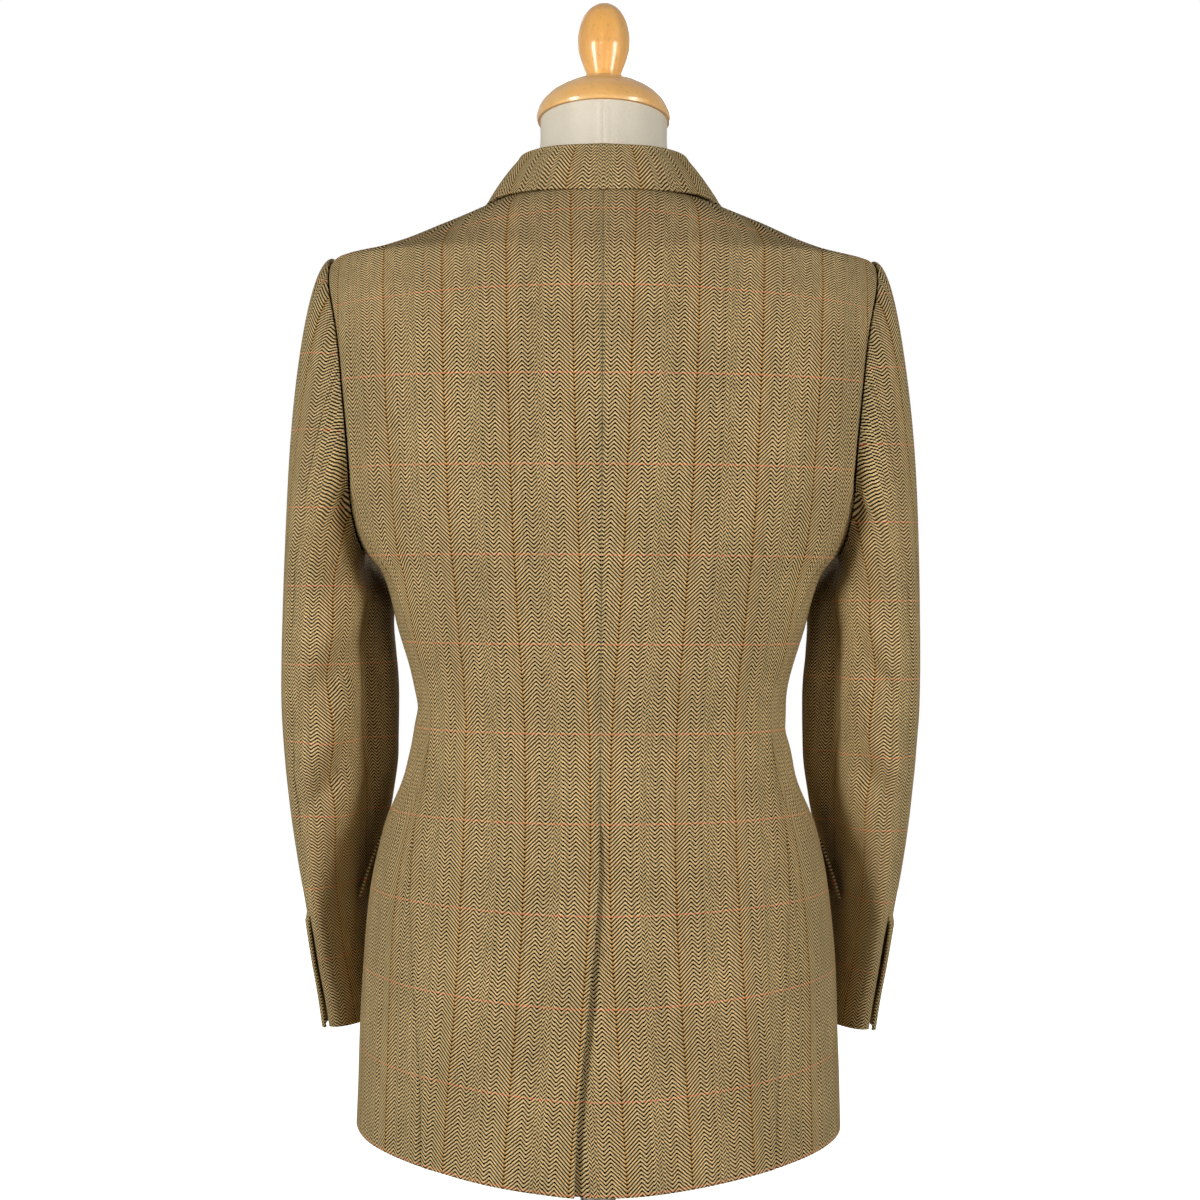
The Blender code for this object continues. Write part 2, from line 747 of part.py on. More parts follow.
def turned_mesh(profile, steps):
    """A solid of revolution about Z from (radius, height) points that start and end on it."""
    bm = bmesh.new()
    verts = [bm.verts.new((radius, 0, height)) for radius, height in profile]
    edges = [bm.edges.new(pair) for pair in zip(verts, verts[1:])]
    bmesh.ops.spin(
        bm,
        geom=verts + edges,
        cent=(0, 0, 0),
        axis=(0, 0, 1),
        angle=2 * math.pi,
        steps=steps,
        use_merge=True,
    )
    bmesh.ops.remove_doubles(bm, verts=bm.verts, dist=0.001)
    return bm


def profile_of(table, rows):
    """A smooth turned profile through a table, closed on the axis at both ends."""
    heights = [point.height for point in table]
    radius = curve_through(heights, [point.radius for point in table])
    low, high = heights[0], heights[-1]
    middle = [(radius(mix(low, high, i / rows)), mix(low, high, i / rows)) for i in range(rows + 1)]
    return [(0, low)] + middle + [(0, high)]


def form_ring(bm, z, half_width, back, front, square, middle_y, tilt, count):
    """A ring of vertices of the form; tilt raises it at the back."""
    ring = []
    for i in range(count):
        turn = 2 * math.pi * i / count
        across, along = math.sin(turn), math.cos(turn)
        depth = back if along > 0 else front
        reach = ((abs(across) / half_width) ** square + (abs(along) / depth) ** square) ** (-1 / square)
        y = middle_y - reach * along
        ring.append(bm.verts.new((reach * across, y, z + tilt * -y)))
    return ring


def form_body(name):
    """The padded torso, smaller than the cloth all round, and its slanting neck."""
    count = 36
    bm = bmesh.new()
    rings = []
    zs = levels((FORM_BOTTOM_Z, 3), (381, 5), (600, 5), (ARMHOLE_TOP_Z, 5), (FORM_TOP_Z, 0))
    for z in zs:
        size = [BODY[f](z) - FORM_GAP for f in ("half_width", "back", "front")]
        rings.append(form_ring(bm, z, *size, BODY["square"](z), 0, 0, count))
    for i, neck in enumerate(FORM_NECK, start=1):
        tilt = math.tan(math.radians(NECK_TILT)) * i / len(FORM_NECK)
        size = (neck.half_width, neck.half_depth, neck.half_depth, 2, neck.middle_y)
        rings.append(form_ring(bm, neck.z, *size, tilt, count))
    for low, high in zip(rings, rings[1:]):
        for i in range(count):
            j = (i + 1) % count
            bm.faces.new((low[i], low[j], high[j], high[i]))
    bm.faces.new(rings[0])
    bm.faces.new(rings[-1])
    return add_object(name, bm, "linen", LINEN)


def neck_frame():
    """Where the neck's sloping top is, as a matrix for what is turned on it."""
    top = FORM_NECK[-1]
    slope = math.tan(math.radians(NECK_TILT))
    middle = Vector((0, top.middle_y, top.z - slope * top.middle_y))
    return Matrix.Translation(middle) @ Matrix.Rotation(math.radians(-NECK_TILT), 4, "X")


def turned_on_neck(name, table, rows, steps, raise_by):
    bm = turned_mesh(profile_of(table, rows), steps)
    place = neck_frame() @ Matrix.Translation((0, 0, raise_by))
    bmesh.ops.transform(bm, matrix=place, verts=bm.verts)
    return add_object(name, bm, "beech", BEECH)


def stand_pole(name):
    low, high = BASE_THICKNESS + CAP_GAP, FORM_BOTTOM_Z - CAP_GAP
    bm = turned_mesh([(0, low), (POLE_RADIUS, low), (POLE_RADIUS, high), (0, high)], 24)
    return add_object(name, bm, "steel", STEEL)


def stand_base(name):
    top = BASE_THICKNESS
    profile = [
        (0, 0),
        (BASE_RADIUS, 0),
        (BASE_RADIUS, top - BASE_BEVEL),
        (BASE_RADIUS - BASE_BEVEL, top),
        (0, top),
    ]
    return add_object(name, turned_mesh(profile, 40), "steel", STEEL)


def main():
    for old in list(bpy.data.objects):
        bpy.data.objects.remove(old)
    for word, side in (("left", -1), ("right", 1)):
        back_panel(f"back_{word}", side)
        side_panel(f"side_{word}", side)
        front_panel(f"front_{word}", side)
        lapel(f"lapel_{word}", side)
        sleeve_half(f"top_sleeve_{word}", side, HINDARM_SEAM - 360, FOREARM_SEAM, 10, True)
        sleeve_half(f"under_sleeve_{word}", side, FOREARM_SEAM, HINDARM_SEAM, 12, False)
        pocket_flap(f"flap_{word}", side)
    collar("collar")
    for i, z in enumerate(BUTTON_Z, start=1):
        button(f"button_{i}", z)
    form_body("form_body")
    cap_height = CAP_PROFILE[-1].height
    turned_on_neck("neck_cap", CAP_PROFILE, 8, 24, CAP_GAP)
    turned_on_neck("finial", FINIAL_PROFILE, 9, 20, cap_height + 2 * CAP_GAP)
    stand_pole("stand_pole")
    stand_base("stand_base")


main()
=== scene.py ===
"""The looks of a tweed jacket on a dress form, over its CAD solids.

Sizes are millimetres until a mesh is made; MM turns them into metres. The floor is z = 0, the back of
the jacket faces -Y and +X is the wearer's right. Angles round the body run from 0 at the centre back
to 180 at the centre front.
"""

import logging
import math
from dataclasses import dataclass, field
from enum import Enum
from typing import Any, Optional, Sequence, Union

import bmesh
import bpy
import numpy as np
from mathutils import Matrix, Vector


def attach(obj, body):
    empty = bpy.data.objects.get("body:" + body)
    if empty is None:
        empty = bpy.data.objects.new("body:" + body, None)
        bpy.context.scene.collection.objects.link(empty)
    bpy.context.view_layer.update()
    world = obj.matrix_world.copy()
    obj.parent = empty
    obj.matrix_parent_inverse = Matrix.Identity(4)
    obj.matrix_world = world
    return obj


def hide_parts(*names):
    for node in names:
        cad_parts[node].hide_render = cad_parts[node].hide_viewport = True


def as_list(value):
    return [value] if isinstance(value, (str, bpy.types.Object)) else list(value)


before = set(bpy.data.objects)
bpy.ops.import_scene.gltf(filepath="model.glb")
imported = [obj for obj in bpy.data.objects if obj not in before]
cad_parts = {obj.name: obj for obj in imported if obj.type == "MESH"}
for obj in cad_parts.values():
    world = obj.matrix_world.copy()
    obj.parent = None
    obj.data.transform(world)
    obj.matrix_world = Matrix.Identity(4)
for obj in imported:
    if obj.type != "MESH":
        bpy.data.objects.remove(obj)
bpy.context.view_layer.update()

LOG = logging.getLogger("jacket")
MM = 0.001
Array = np.ndarray
Number = Union[float, Array]
Colour = tuple[float, float, float]
Node = bpy.types.Node
Object = bpy.types.Object
Socket = bpy.types.NodeSocket


class Hand(Enum):
    """The wearer's left or right, as the sign of x."""

    LEFT = -1
    RIGHT = 1

    @property
    def word(self) -> str:
        """The side as it stands in the nodes' names."""
        return self.name.lower()


class Facing(Enum):
    """Which half of a body section is meant."""

    BACK = "back"
    FRONT = "front"

    @property
    def sign(self) -> int:
        """The sign of y on this half."""
        return -1 if self is Facing.BACK else 1


class Slot(Enum):
    """The record's material slots."""

    TWEED = "tweed"
    HORN = "horn"
    LINEN = "linen"
    BEECH = "beech"
    STEEL = "steel"
    IRON = "iron"


class Hold(Enum):
    """How a cut piece of cloth is held."""

    HUNG = "hung"
    FOLDED = "folded"


def mix(a: Number, b: Number, t: Number) -> Number:
    """The value a share t of the way from a to b."""
    return a + (b - a) * t


def smooth(t: Number) -> Number:
    """0 below 0, 1 above 1, and an S-curve between."""
    t = np.clip(t, 0.0, 1.0)
    return t * t * (3 - 2 * t)


def bell(distance: Number, width: Number) -> Number:
    """A soft bump, 1 at no distance."""
    return np.exp(-((distance / width) ** 2))


def stack(x: Array, y: Array, z: Array) -> Array:
    """Three coordinate arrays as one array of points."""
    return np.stack(np.broadcast_arrays(x, y, z), axis=-1)


def superellipse(across: Array, along: Array, width: Number, depth: Number, power: Number) -> Array:
    """Reach of a superellipse in a direction.

    Args:
        across: the direction's sine.
        along: the direction's cosine.
        width: half the section's width.
        depth: half its depth on that side.
        power: its exponent; 2 is an ellipse.

    Returns:
        The distance from the middle.
    """
    return ((np.abs(across) / width) ** power + (np.abs(along) / depth) ** power) ** (-1 / power)


def unit(vectors: Array) -> Array:
    """The same vectors at length 1."""
    return vectors / np.linalg.norm(vectors, axis=-1, keepdims=True)


def run_along(points: Array, axis: int) -> Array:
    """Distance along the rows or columns of a grid of points.

    Args:
        points: grid of points, rows by columns by 3.
        axis: 0 to measure along the columns, 1 along the rows.

    Returns:
        The running distance from the first point of each, in the points' unit.
    """
    steps = np.linalg.norm(np.diff(points, axis=axis), axis=-1)
    start = np.zeros_like(np.take(steps, [0], axis=axis))
    return np.concatenate([start, np.cumsum(steps, axis=axis)], axis=axis)


class Track:
    """A smooth curve through points that never overshoots them."""

    def __init__(self, xs: Sequence[float], ys: Sequence[float]) -> None:
        """Fits the curve.

        Args:
            xs: rising places.
            ys: the value at each place.
        """
        self.xs, self.ys = np.array(xs, float), np.array(ys, float)
        self.steps = np.diff(self.xs)
        rises = np.diff(self.ys) / self.steps
        before, after = rises[:-1], rises[1:]
        near = 2 * self.steps[1:] + self.steps[:-1]
        far = self.steps[1:] + 2 * self.steps[:-1]
        same_way = before * after > 0
        weighed = near / np.where(same_way, before, 1) + far / np.where(same_way, after, 1)
        inner = np.where(same_way, (near + far) / weighed, 0.0)
        self.slopes = np.concatenate([rises[:1], inner, rises[-1:]])

    def __call__(self, x: Number) -> Array:
        """The curve's value at x, held level past both ends."""
        x = np.clip(x, self.xs[0], self.xs[-1])
        i = np.clip(np.searchsorted(self.xs, x, side="right") - 1, 0, len(self.steps) - 1)
        h = self.steps[i]
        t = (x - self.xs[i]) / h
        return (
            self.ys[i] * (1 + 2 * t) * (1 - t) ** 2
            + h * self.slopes[i] * t * (1 - t) ** 2
            + self.ys[i + 1] * t * t * (3 - 2 * t)
            + h * self.slopes[i + 1] * t * t * (t - 1)
        )


def fit_columns(rows: Sequence[Any], names: Sequence[str], place: str = "z") -> dict[str, Track]:
    """Fits a curve to each named column of a table.

    Args:
        rows: the table's rows, by rising place.
        names: the columns to fit.
        place: the column that holds each row's place.

    Returns:
        The curves by the columns' names.
    """
    places = [getattr(row, place) for row in rows]
    return {name: Track(places, [getattr(row, name) for row in rows]) for name in names}


@dataclass(frozen=True)
class Section:
    """One level of the body: lift raises its sides, square is its superellipse exponent."""

    z: float
    half_width: float
    back: float
    front: float
    lift: float
    square: float


@dataclass(frozen=True)
class Crease:
    """A soft trough (negative depth) or ridge between two places of a panel.

    Each place is (across, z), across in the panel's own measure: millimetres on the body, degrees
    round a sleeve.
    """

    start: tuple[float, float]
    end: tuple[float, float]
    width: float
    depth: float
    bow: float = 0.0
    taper_power = 1.5
    roll_share = 0.32
    roll_at = 1.9
    roll_widths = (1.1, 1.3)

    def relief(self, across: Array, z: Array) -> Array:
        """How far the crease moves each place out.

        Args:
            across: the panel's own measure across.
            z: height.

        Returns:
            The move in millimetres.
        """
        along = np.array(self.end, float) - np.array(self.start, float)
        length = np.hypot(*along)
        along = along / length
        from_x, from_z = across - self.start[0], z - self.start[1]
        share = 2 * (from_x * along[0] + from_z * along[1]) / length - 1
        off = from_x * along[1] - from_z * along[0] - self.bow * (1 - share**2)
        taper = np.clip(1 - share**2, 0, None) ** self.taper_power
        roll_at = self.roll_at * self.width
        one, other = (share_of * self.width for share_of in self.roll_widths)
        side_roll = self.roll_share * (bell(off - roll_at, one) + bell(off + roll_at, other))
        return self.depth * taper * (bell(off, self.width) - side_roll)


@dataclass(frozen=True)
class Seam:
    """The groove where two pieces are sewn, and the ridge of the turnings beside it."""

    depth: float = 0.9
    width: float = 1.5
    ridge: float = 0.22
    ridge_at: float = 6.5
    ridge_width: float = 3.5

    def relief(self, distance: Array) -> Array:
        """The move out at a distance from the seam."""
        ridge = self.ridge * bell(distance - self.ridge_at, self.ridge_width)
        return -self.depth * bell(distance, self.width) + ridge


PLAIN_SEAM = Seam()
FLAT_SEAM = Seam(depth=0.5, width=1.3, ridge=0.15)
ARMHOLE_SEAM = Seam(depth=1.2, width=2.2, ridge=0.4, ridge_at=8)


@dataclass(frozen=True)
class EdgeStitch:
    """The groove of the stitches along a free edge."""

    depth: float
    width: float
    at: float = 6

    def relief(self, distance: Array) -> Array:
        """The move out at a distance from the edge."""
        return -self.depth * bell(distance - self.at, self.width)


@dataclass(frozen=True)
class Unevenness:
    """Slow swells that keep a hung cloth from lying like a turned surface.

    Each swell has its share, its length across and up, and its share of the phase.
    """

    phase: float
    size: float = 0.35
    swells = ((1.0, 17, 61, 1.0), (0.8, 29, -43, 2.3), (0.5, 11, -23, 4.1))

    def relief(self, across: Array, z: Array) -> Array:
        """The move out at each place."""
        waves = [
            share * np.sin(across / wide + z / tall + turn * self.phase)
            for share, wide, tall, turn in self.swells
        ]
        return self.size * sum(waves)


@dataclass
class BodyForm:
    """The outer side of the jacket's body, with its seams and armholes."""

    sections: tuple[Section, ...] = (
        Section(130, 190, 140, 124, 22, 2.2),
        Section(235, 187, 137, 122, 15, 2.2),
        Section(326, 180, 130, 119, 7, 2.2),
        Section(381, 170, 121, 115, 3, 2.2),
        Section(430, 153, 109, 112, 0, 2.2),
        Section(480, 145, 102, 111, 0, 2.2),
        Section(543, 160, 108, 117, 0, 2.3),
        Section(583, 172, 113, 123, 0, 2.4),
        Section(600, 186, 115, 125, 0, 2.4),
        Section(650, 204, 120, 128, 0, 2.5),
        Section(732, 217, 121, 122, 0, 2.5),
        Section(794, 218, 113, 101, 0, 2.5),
        Section(826, 213, 104, 84, 0, 2.4),
        Section(835, 181, 99, 76, 0, 2.3),
        Section(843.5, 156, 94, 70, 0, 2.2),
        Section(857, 125, 86, 62, 0, 2.2),
        Section(869, 97, 79, 55, 0, 2.1),
        Section(879, 73, 70, 50, 0, 2.0),
    )
    hem_z: float = 130
    neck_z: float = 879
    armhole_y: float = 3
    armhole_low: float = 600
    armhole_top: float = 826
    armhole_half_width: float = 66
    back_seam_angle: float = 51
    back_seam_top: float = 645
    front_seam_angle: float = 111
    front_seam_top: float = 628
    gap: float = 0.12
    red_line_z: float = 462.6
    droop_from: float = 760
    droop_ease: float = 100
    climb_steps: int = 400

    def __post_init__(self) -> None:
        """Fits a curve to every column of the sections, and measures the centre back."""
        self.size = fit_columns(self.sections, ("half_width", "back", "front", "lift", "square"))
        z = np.linspace(self.hem_z, self.neck_z, self.climb_steps)
        climb = np.hypot(np.diff(z), np.diff(self.size["back"](z)))
        self._z, self._climb = z, np.concatenate([[0], np.cumsum(climb)])

    def point(self, z: Array, angle: Array) -> Array:
        """Points of the outer side on the right, by section height and angle in degrees."""
        turn = np.radians(angle)
        across, along = np.sin(turn), np.cos(turn)
        depth = np.where(along > 0, self.size["back"](z), self.size["front"](z))
        n = self.size["square"](z)
        reach = superellipse(across, along, self.size["half_width"](z), depth, n)
        return stack(reach * across, -reach * along, z + self.size["lift"](z) * across**2)

    def out(self, z: Array, angle: Array, by: Number) -> Array:
        """Points moved out along the body's normal."""
        return self.point(z, angle) + self.normal(z, angle) * np.asarray(by)[..., None]

    def normal(self, z: Array, angle: Array) -> Array:
        """The body's outward unit normals."""
        round_it = self.point(z, angle + 0.5) - self.point(z, angle - 0.5)
        above, below = np.minimum(z + 1, self.neck_z), np.maximum(z - 1, self.hem_z)
        return unit(np.cross(round_it, self.point(above, angle) - self.point(below, angle)))

    def angle_at_x(self, z: Array, x: Array, facing: Facing) -> Array:
        """The angle where a section reaches a distance x from the middle."""
        n = self.size["square"](z)
        share = np.minimum(np.abs(x) / self.size["half_width"](z), 1.0)
        y = self.size[facing.value](z) * (1 - share**n) ** (1 / n)
        angle = np.degrees(np.arctan2(x, y))
        return angle if facing is Facing.BACK else 180 - angle

    def angle_at_y(self, z: Array, y: Array) -> Array:
        """The angle where a section reaches a depth y, on the right."""
        n = self.size["square"](z)
        depth = np.where(np.asarray(y) < 0, self.size["back"](z), self.size["front"](z))
        share = np.minimum(np.abs(y) / depth, 1.0)
        x = self.size["half_width"](z) * (1 - share**n) ** (1 / n)
        return np.degrees(np.arctan2(x, -np.asarray(y)))

    @property
    def armhole_half(self) -> float:
        """Half the armhole's height."""
        return (self.armhole_top - self.armhole_low) / 2

    def armhole_edge(self, z: Array, facing: Facing) -> Array:
        """Depth of the armhole's back or front edge at a height."""
        share = (z - self.armhole_low) / self.armhole_half - 1
        half_width = facing.sign * self.armhole_half_width
        return self.armhole_y + half_width * np.sqrt(np.clip(1 - share**2, 0, None))

    def armhole_floor(self, y: Array) -> Array:
        """Height of the armhole's lower edge at a depth."""
        share = np.minimum(np.abs(y - self.armhole_y) / self.armhole_half_width, 1.0)
        return self.armhole_low + self.armhole_half * (1 - np.sqrt(1 - share**2))

    def seam_top(self, facing: Facing) -> float:
        """Height where the side body's back or front seam meets the armhole."""
        return self.back_seam_top if facing is Facing.BACK else self.front_seam_top

    def seam(self, z: Array, facing: Facing) -> Array:
        """The angle of the side body's back or front seam."""
        low = self.back_seam_angle if facing is Facing.BACK else self.front_seam_angle
        top = np.array(self.seam_top(facing), float)
        high = self.angle_at_y(top, self.armhole_edge(top, facing))
        return mix(low, high, smooth((z - self.hem_z) / (top - self.hem_z)))

    def gap_angle(self, z: Array, angle: Array) -> Array:
        """Half a seam's gap as an angle."""
        spot = self.point(z, angle)
        return np.degrees(self.gap / np.hypot(spot[..., 0], spot[..., 1]))

    def outer_edge(self, z: Array, facing: Facing) -> Array:
        """A back's or front's sleeve-side edge: side seam, armhole, then shoulder seam."""
        top = self.seam_top(facing)
        arm_z = np.clip(z, top, self.armhole_top)
        arm = self.angle_at_y(arm_z, self.armhole_edge(arm_z, facing))
        upper = np.where(z < self.armhole_top, arm, 90.0)
        angle = np.where(z < top, self.seam(np.minimum(z, top), facing), upper)
        return angle + facing.sign * self.gap_angle(z, angle)

    def climb(self, z: Array) -> Array:
        """Length up the centre back from the hem."""
        return np.interp(z, self._z, self._climb)

    def weft(self, z: Array) -> Array:
        """Length up the centre back from a red weft line."""
        return self.climb(z) - self.climb(self.red_line_z)

    def droop(self, points: Array, z: Array, rate: float) -> Array:
        """How far the weft lines sink towards the ends of the shoulders."""
        return rate * points[..., 0] ** 2 * smooth((z - self.droop_from) / self.droop_ease)


@dataclass(frozen=True)
class SleeveSection:
    """One level of a sleeve: turn swings the oval's front inwards, hollow sinks its inner side."""

    z: float
    outer_x: float
    half_width: float
    half_depth: float
    middle_y: float
    turn: float
    hollow: float


@dataclass
class SleeveForm:
    """The outer side of a sleeve, from its seam at the armhole to the cuff.

    Directions run 0 at the top and outside, 90 at the front, 180 under the arm and 270 at the back.
    """

    body: BodyForm
    sections: tuple[SleeveSection, ...] = (
        SleeveSection(560, 247.5, 35.4, 70, 2, 16, 7),
        SleeveSection(523, 247.5, 36.4, 69, 2, 21, 13),
        SleeveSection(483, 247.5, 36.7, 68, 4, 22, 14),
        SleeveSection(443, 246, 35.6, 66, 9, 22, 12),
        SleeveSection(403, 243, 31.7, 64, 17, 20, 8),
        SleeveSection(361, 238, 24.1, 63, 29, 17, 3),
        SleeveSection(318, 232, 19.5, 62, 41, 15, 0),
        SleeveSection(276, 227, 18.7, 61, 52, 15, 0),
        SleeveSection(240, 222, 18.3, 60, 61, 15, 0),
        SleeveSection(223, 220, 18, 59.5, 64.5, 15, 0),
    )
    bicep_z: float = 560
    cuff_z: float = 223
    hollow_at: float = 185
    hollow_width: float = 18
    hollow_top: float = 605
    hollow_ease: float = 50
    pocket: float = 4.5
    pocket_at: float = 232
    pocket_width: float = 13
    pocket_z: float = 630
    pocket_height: float = 17
    inset: float = -0.9
    outset: float = 0.7
    underarm_outset: float = 1.4
    push_low: float = 14
    push_top: float = 70
    fall_top: float = 4
    head_raise: float = 4.8
    head_from: float = 0.78
    head_ease: float = 0.22
    settle: float = 0.95
    wrap: float = 135
    first_line: float = -90
    hindarm: float = 282
    forearm: float = 135
    vent_z: float = 318
    vent_lift: float = 3.4
    vent_width: float = 40

    def __post_init__(self) -> None:
        """Fits a curve to every column of the sections."""
        names = ("outer_x", "half_width", "half_depth", "middle_y", "turn", "hollow")
        self.size = fit_columns(sorted(self.sections, key=lambda s: s.z), names)

    def seam_point(self, direction: Array) -> Array:
        """Points of the seam that joins the sleeve to the armhole."""
        body, turn = self.body, np.radians(direction)
        half = body.armhole_half
        z = body.armhole_low + half + (half - self.inset) * np.cos(turn)
        y = body.armhole_y + (body.armhole_half_width - self.inset) * np.sin(turn)
        raised = self.head_raise * smooth((np.cos(turn) - self.head_from) / self.head_ease)
        out = mix(self.outset, self.underarm_outset, (1 - np.cos(turn)) / 2)
        return body.point(z, body.angle_at_y(z, y)) + stack(out, 0 * out, raised)

    def arm_point(self, z: Array, direction: Array) -> Array:
        """Points of the sleeve below the armhole."""
        turn, lean = np.radians(direction), np.radians(self.size["turn"](z))
        half_width, half_depth = self.size["half_width"](z), self.size["half_depth"](z)
        across, along = half_width * np.cos(turn), half_depth * np.sin(turn)
        reach = np.hypot(half_width * np.cos(lean), half_depth * np.sin(lean))
        x = self.size["outer_x"](z) - reach + across * np.cos(lean) - along * np.sin(lean)
        y = self.size["middle_y"](z) + across * np.sin(lean) + along * np.cos(lean)
        return stack(x, y, z)

    def point(self, t: Array, direction: Array) -> Array:
        """Points of the sleeve: t is 0 at the seam, 1 at the top of the arm and 2 at the cuff."""
        start = self.seam_point(direction)
        end = self.arm_point(np.full_like(direction, self.bicep_z), direction)
        below = self.arm_point(np.full_like(direction, self.bicep_z - 1), direction)
        height = (1 + np.cos(np.radians(direction))) / 2
        fall = start[..., 2] - end[..., 2]
        push = stack(mix(self.push_low, self.push_top, height), 0 * fall, -mix(fall, self.fall_top, height))
        pull = (below - end) * (fall * self.settle)[..., None]
        u = np.clip(t, 0, 1)[..., None]
        head = (
            start * (1 + 2 * u) * (1 - u) ** 2
            + push * u * (1 - u) ** 2
            + end * u * u * (3 - 2 * u)
            + pull * u * u * (u - 1)
        )
        arm = self.arm_point(mix(self.bicep_z, self.cuff_z, np.clip(t - 1, 0, 1)), direction)
        return np.where((t >= 1)[..., None], arm, head)

    def hollow(self, z: Array, direction: Array) -> Array:
        """Depth of the hollow along the inner side."""
        deep = self.size["hollow"](z) * smooth((self.hollow_top - z) / self.hollow_ease)
        return deep * bell(direction - self.hollow_at, self.hollow_width)

    def armpit(self, z: Array, direction: Array) -> Array:
        """Depth of the pocket behind the armpit."""
        deep = self.pocket * bell(direction - self.pocket_at, self.pocket_width)
        return deep * bell(z - self.pocket_z, self.pocket_height)

    def girth(self, t: Array, direction: Array) -> Array:
        """Distance round the sleeve from its first warp line to each place of a grid.

        Args:
            t: place down the sleeve, the same along each row.
            direction: direction round the sleeve in degrees.

        Returns:
            The signed distance in millimetres, positive towards the outside.
        """
        start = self.wrap - 360
        turn = np.linspace(start, self.wrap, 361)
        found = np.empty_like(direction)
        for i, level in enumerate(t[:, 0]):
            ring = self.point(np.full_like(turn, level), turn)[None] * np.array([1.0, 1.0, 0.0])
            run = run_along(ring, 1)[0]
            run = run - np.interp(self.first_line, turn, run)
            found[i] = np.interp((direction[i] - start) % 360 + start, turn, run)
        return found


class Graph:
    """Lays nodes in one tree and joins them."""

    per_row = 12
    step_x = 180
    step_y = -220

    def __init__(self, tree: bpy.types.NodeTree) -> None:
        """Takes the tree to lay nodes in."""
        self.tree = tree
        self.laid = 0

    def add(self, kind: str, **settings: Any) -> Node:
        """A new node with its settings."""
        node = self.tree.nodes.new(kind)
        row, column = divmod(self.laid, self.per_row)
        node.location = (self.step_x * column, self.step_y * row)
        self.laid += 1
        for name, value in settings.items():
            setattr(node, name, value)
        return node

    def feed(self, socket: Socket, value: Any) -> None:
        """Joins a socket to another, or sets its value."""
        if isinstance(value, Socket):
            self.tree.links.new(value, socket)
        elif isinstance(value, (tuple, list)) and len(value) == 3 and socket.type == "RGBA":
            socket.default_value = (*value, 1.0)
        else:
            socket.default_value = value

    def math(self, operation: str, *values: Any) -> Socket:
        """A Math node of up to three values."""
        node = self.add("ShaderNodeMath", operation=operation)
        for socket, value in zip(node.inputs, values):
            self.feed(socket, value)
        return node.outputs[0]

    def mix(self, share: Any, a: Any, b: Any, blend: str = "MIX") -> Socket:
        """A colour mix."""
        node = self.add("ShaderNodeMix", data_type="RGBA", blend_type=blend)
        for socket, value in zip((node.inputs[0], node.inputs[6], node.inputs[7]), (share, a, b)):
            self.feed(socket, value)
        return node.outputs[2]

    def stretch(self, vector: Any, scale: tuple[float, float, float]) -> Socket:
        """A vector scaled along each axis."""
        node = self.add("ShaderNodeMapping", vector_type="POINT")
        self.settle(node, {"Vector": vector, "Scale": scale})
        return node.outputs[0]

    def settle(self, node: Node, values: dict[str, Any]) -> None:
        """Feeds a node's inputs by their names."""
        for name, value in values.items():
            self.feed(node.inputs[name], value)

    def noise(self, vector: Any, scale: Any, detail: float = 2.0, **more: float) -> Socket:
        """A noise value; more sets the node's other inputs."""
        node = self.add("ShaderNodeTexNoise")
        self.settle(node, {"Vector": vector, "Scale": scale, "Detail": detail, **more})
        return node.outputs[0]

    def ramp(self, value: Any, stops: Sequence[tuple[float, Colour]]) -> Socket:
        """A colour ramp through the given stops."""
        node = self.add("ShaderNodeValToRGB")
        marks = node.color_ramp.elements
        while len(marks) < len(stops):
            marks.new(0.5)
        for mark, (place, colour) in zip(marks, stops):
            mark.position = place
            mark.color = (*colour, 1)
        self.feed(node.inputs[0], value)
        return node.outputs[0]

    def span(self, value: Any, *ends: float) -> Socket:
        """A value carried from a span's low and high end to another's, and held there."""
        node = self.add("ShaderNodeMapRange")
        for socket, number in zip(node.inputs, (value, *ends)):
            self.feed(socket, number)
        return node.outputs[0]


class SharedGroup:
    """A shader node group with named sockets, made once."""

    name = ""
    inputs: tuple[tuple[str, str], ...] = ()
    outputs: tuple[tuple[str, str], ...] = ()

    def tree(self) -> bpy.types.NodeTree:
        """The group's tree, built the first time it is asked for."""
        made = bpy.data.node_groups.get(self.name)
        if made:
            return made
        made = bpy.data.node_groups.new(self.name, "ShaderNodeTree")
        for way, sockets in (("INPUT", self.inputs), ("OUTPUT", self.outputs)):
            for label, kind in sockets:
                made.interface.new_socket(label, in_out=way, socket_type="NodeSocket" + kind)
        graph = Graph(made)
        found = self.work(graph, graph.add("NodeGroupInput").outputs)
        graph.settle(graph.add("NodeGroupOutput"), found)
        return made

    def work(self, graph: Graph, given: Any) -> dict[str, Any]:
        """Lays the group's nodes.

        Args:
            graph: the group's graph.
            given: the group's inputs.

        Returns:
            What the group puts out, by name.
        """
        raise NotImplementedError

    def place(self, graph: Graph, **values: Any) -> Any:
        """Places the group in a material.

        Args:
            graph: the material's graph.
            values: the group's inputs by name, with _ for a space.

        Returns:
            The placed group's outputs.
        """
        node = graph.add("ShaderNodeGroup")
        node.node_tree = self.tree()
        graph.settle(node, {label.replace("_", " "): value for label, value in values.items()})
        return node.outputs


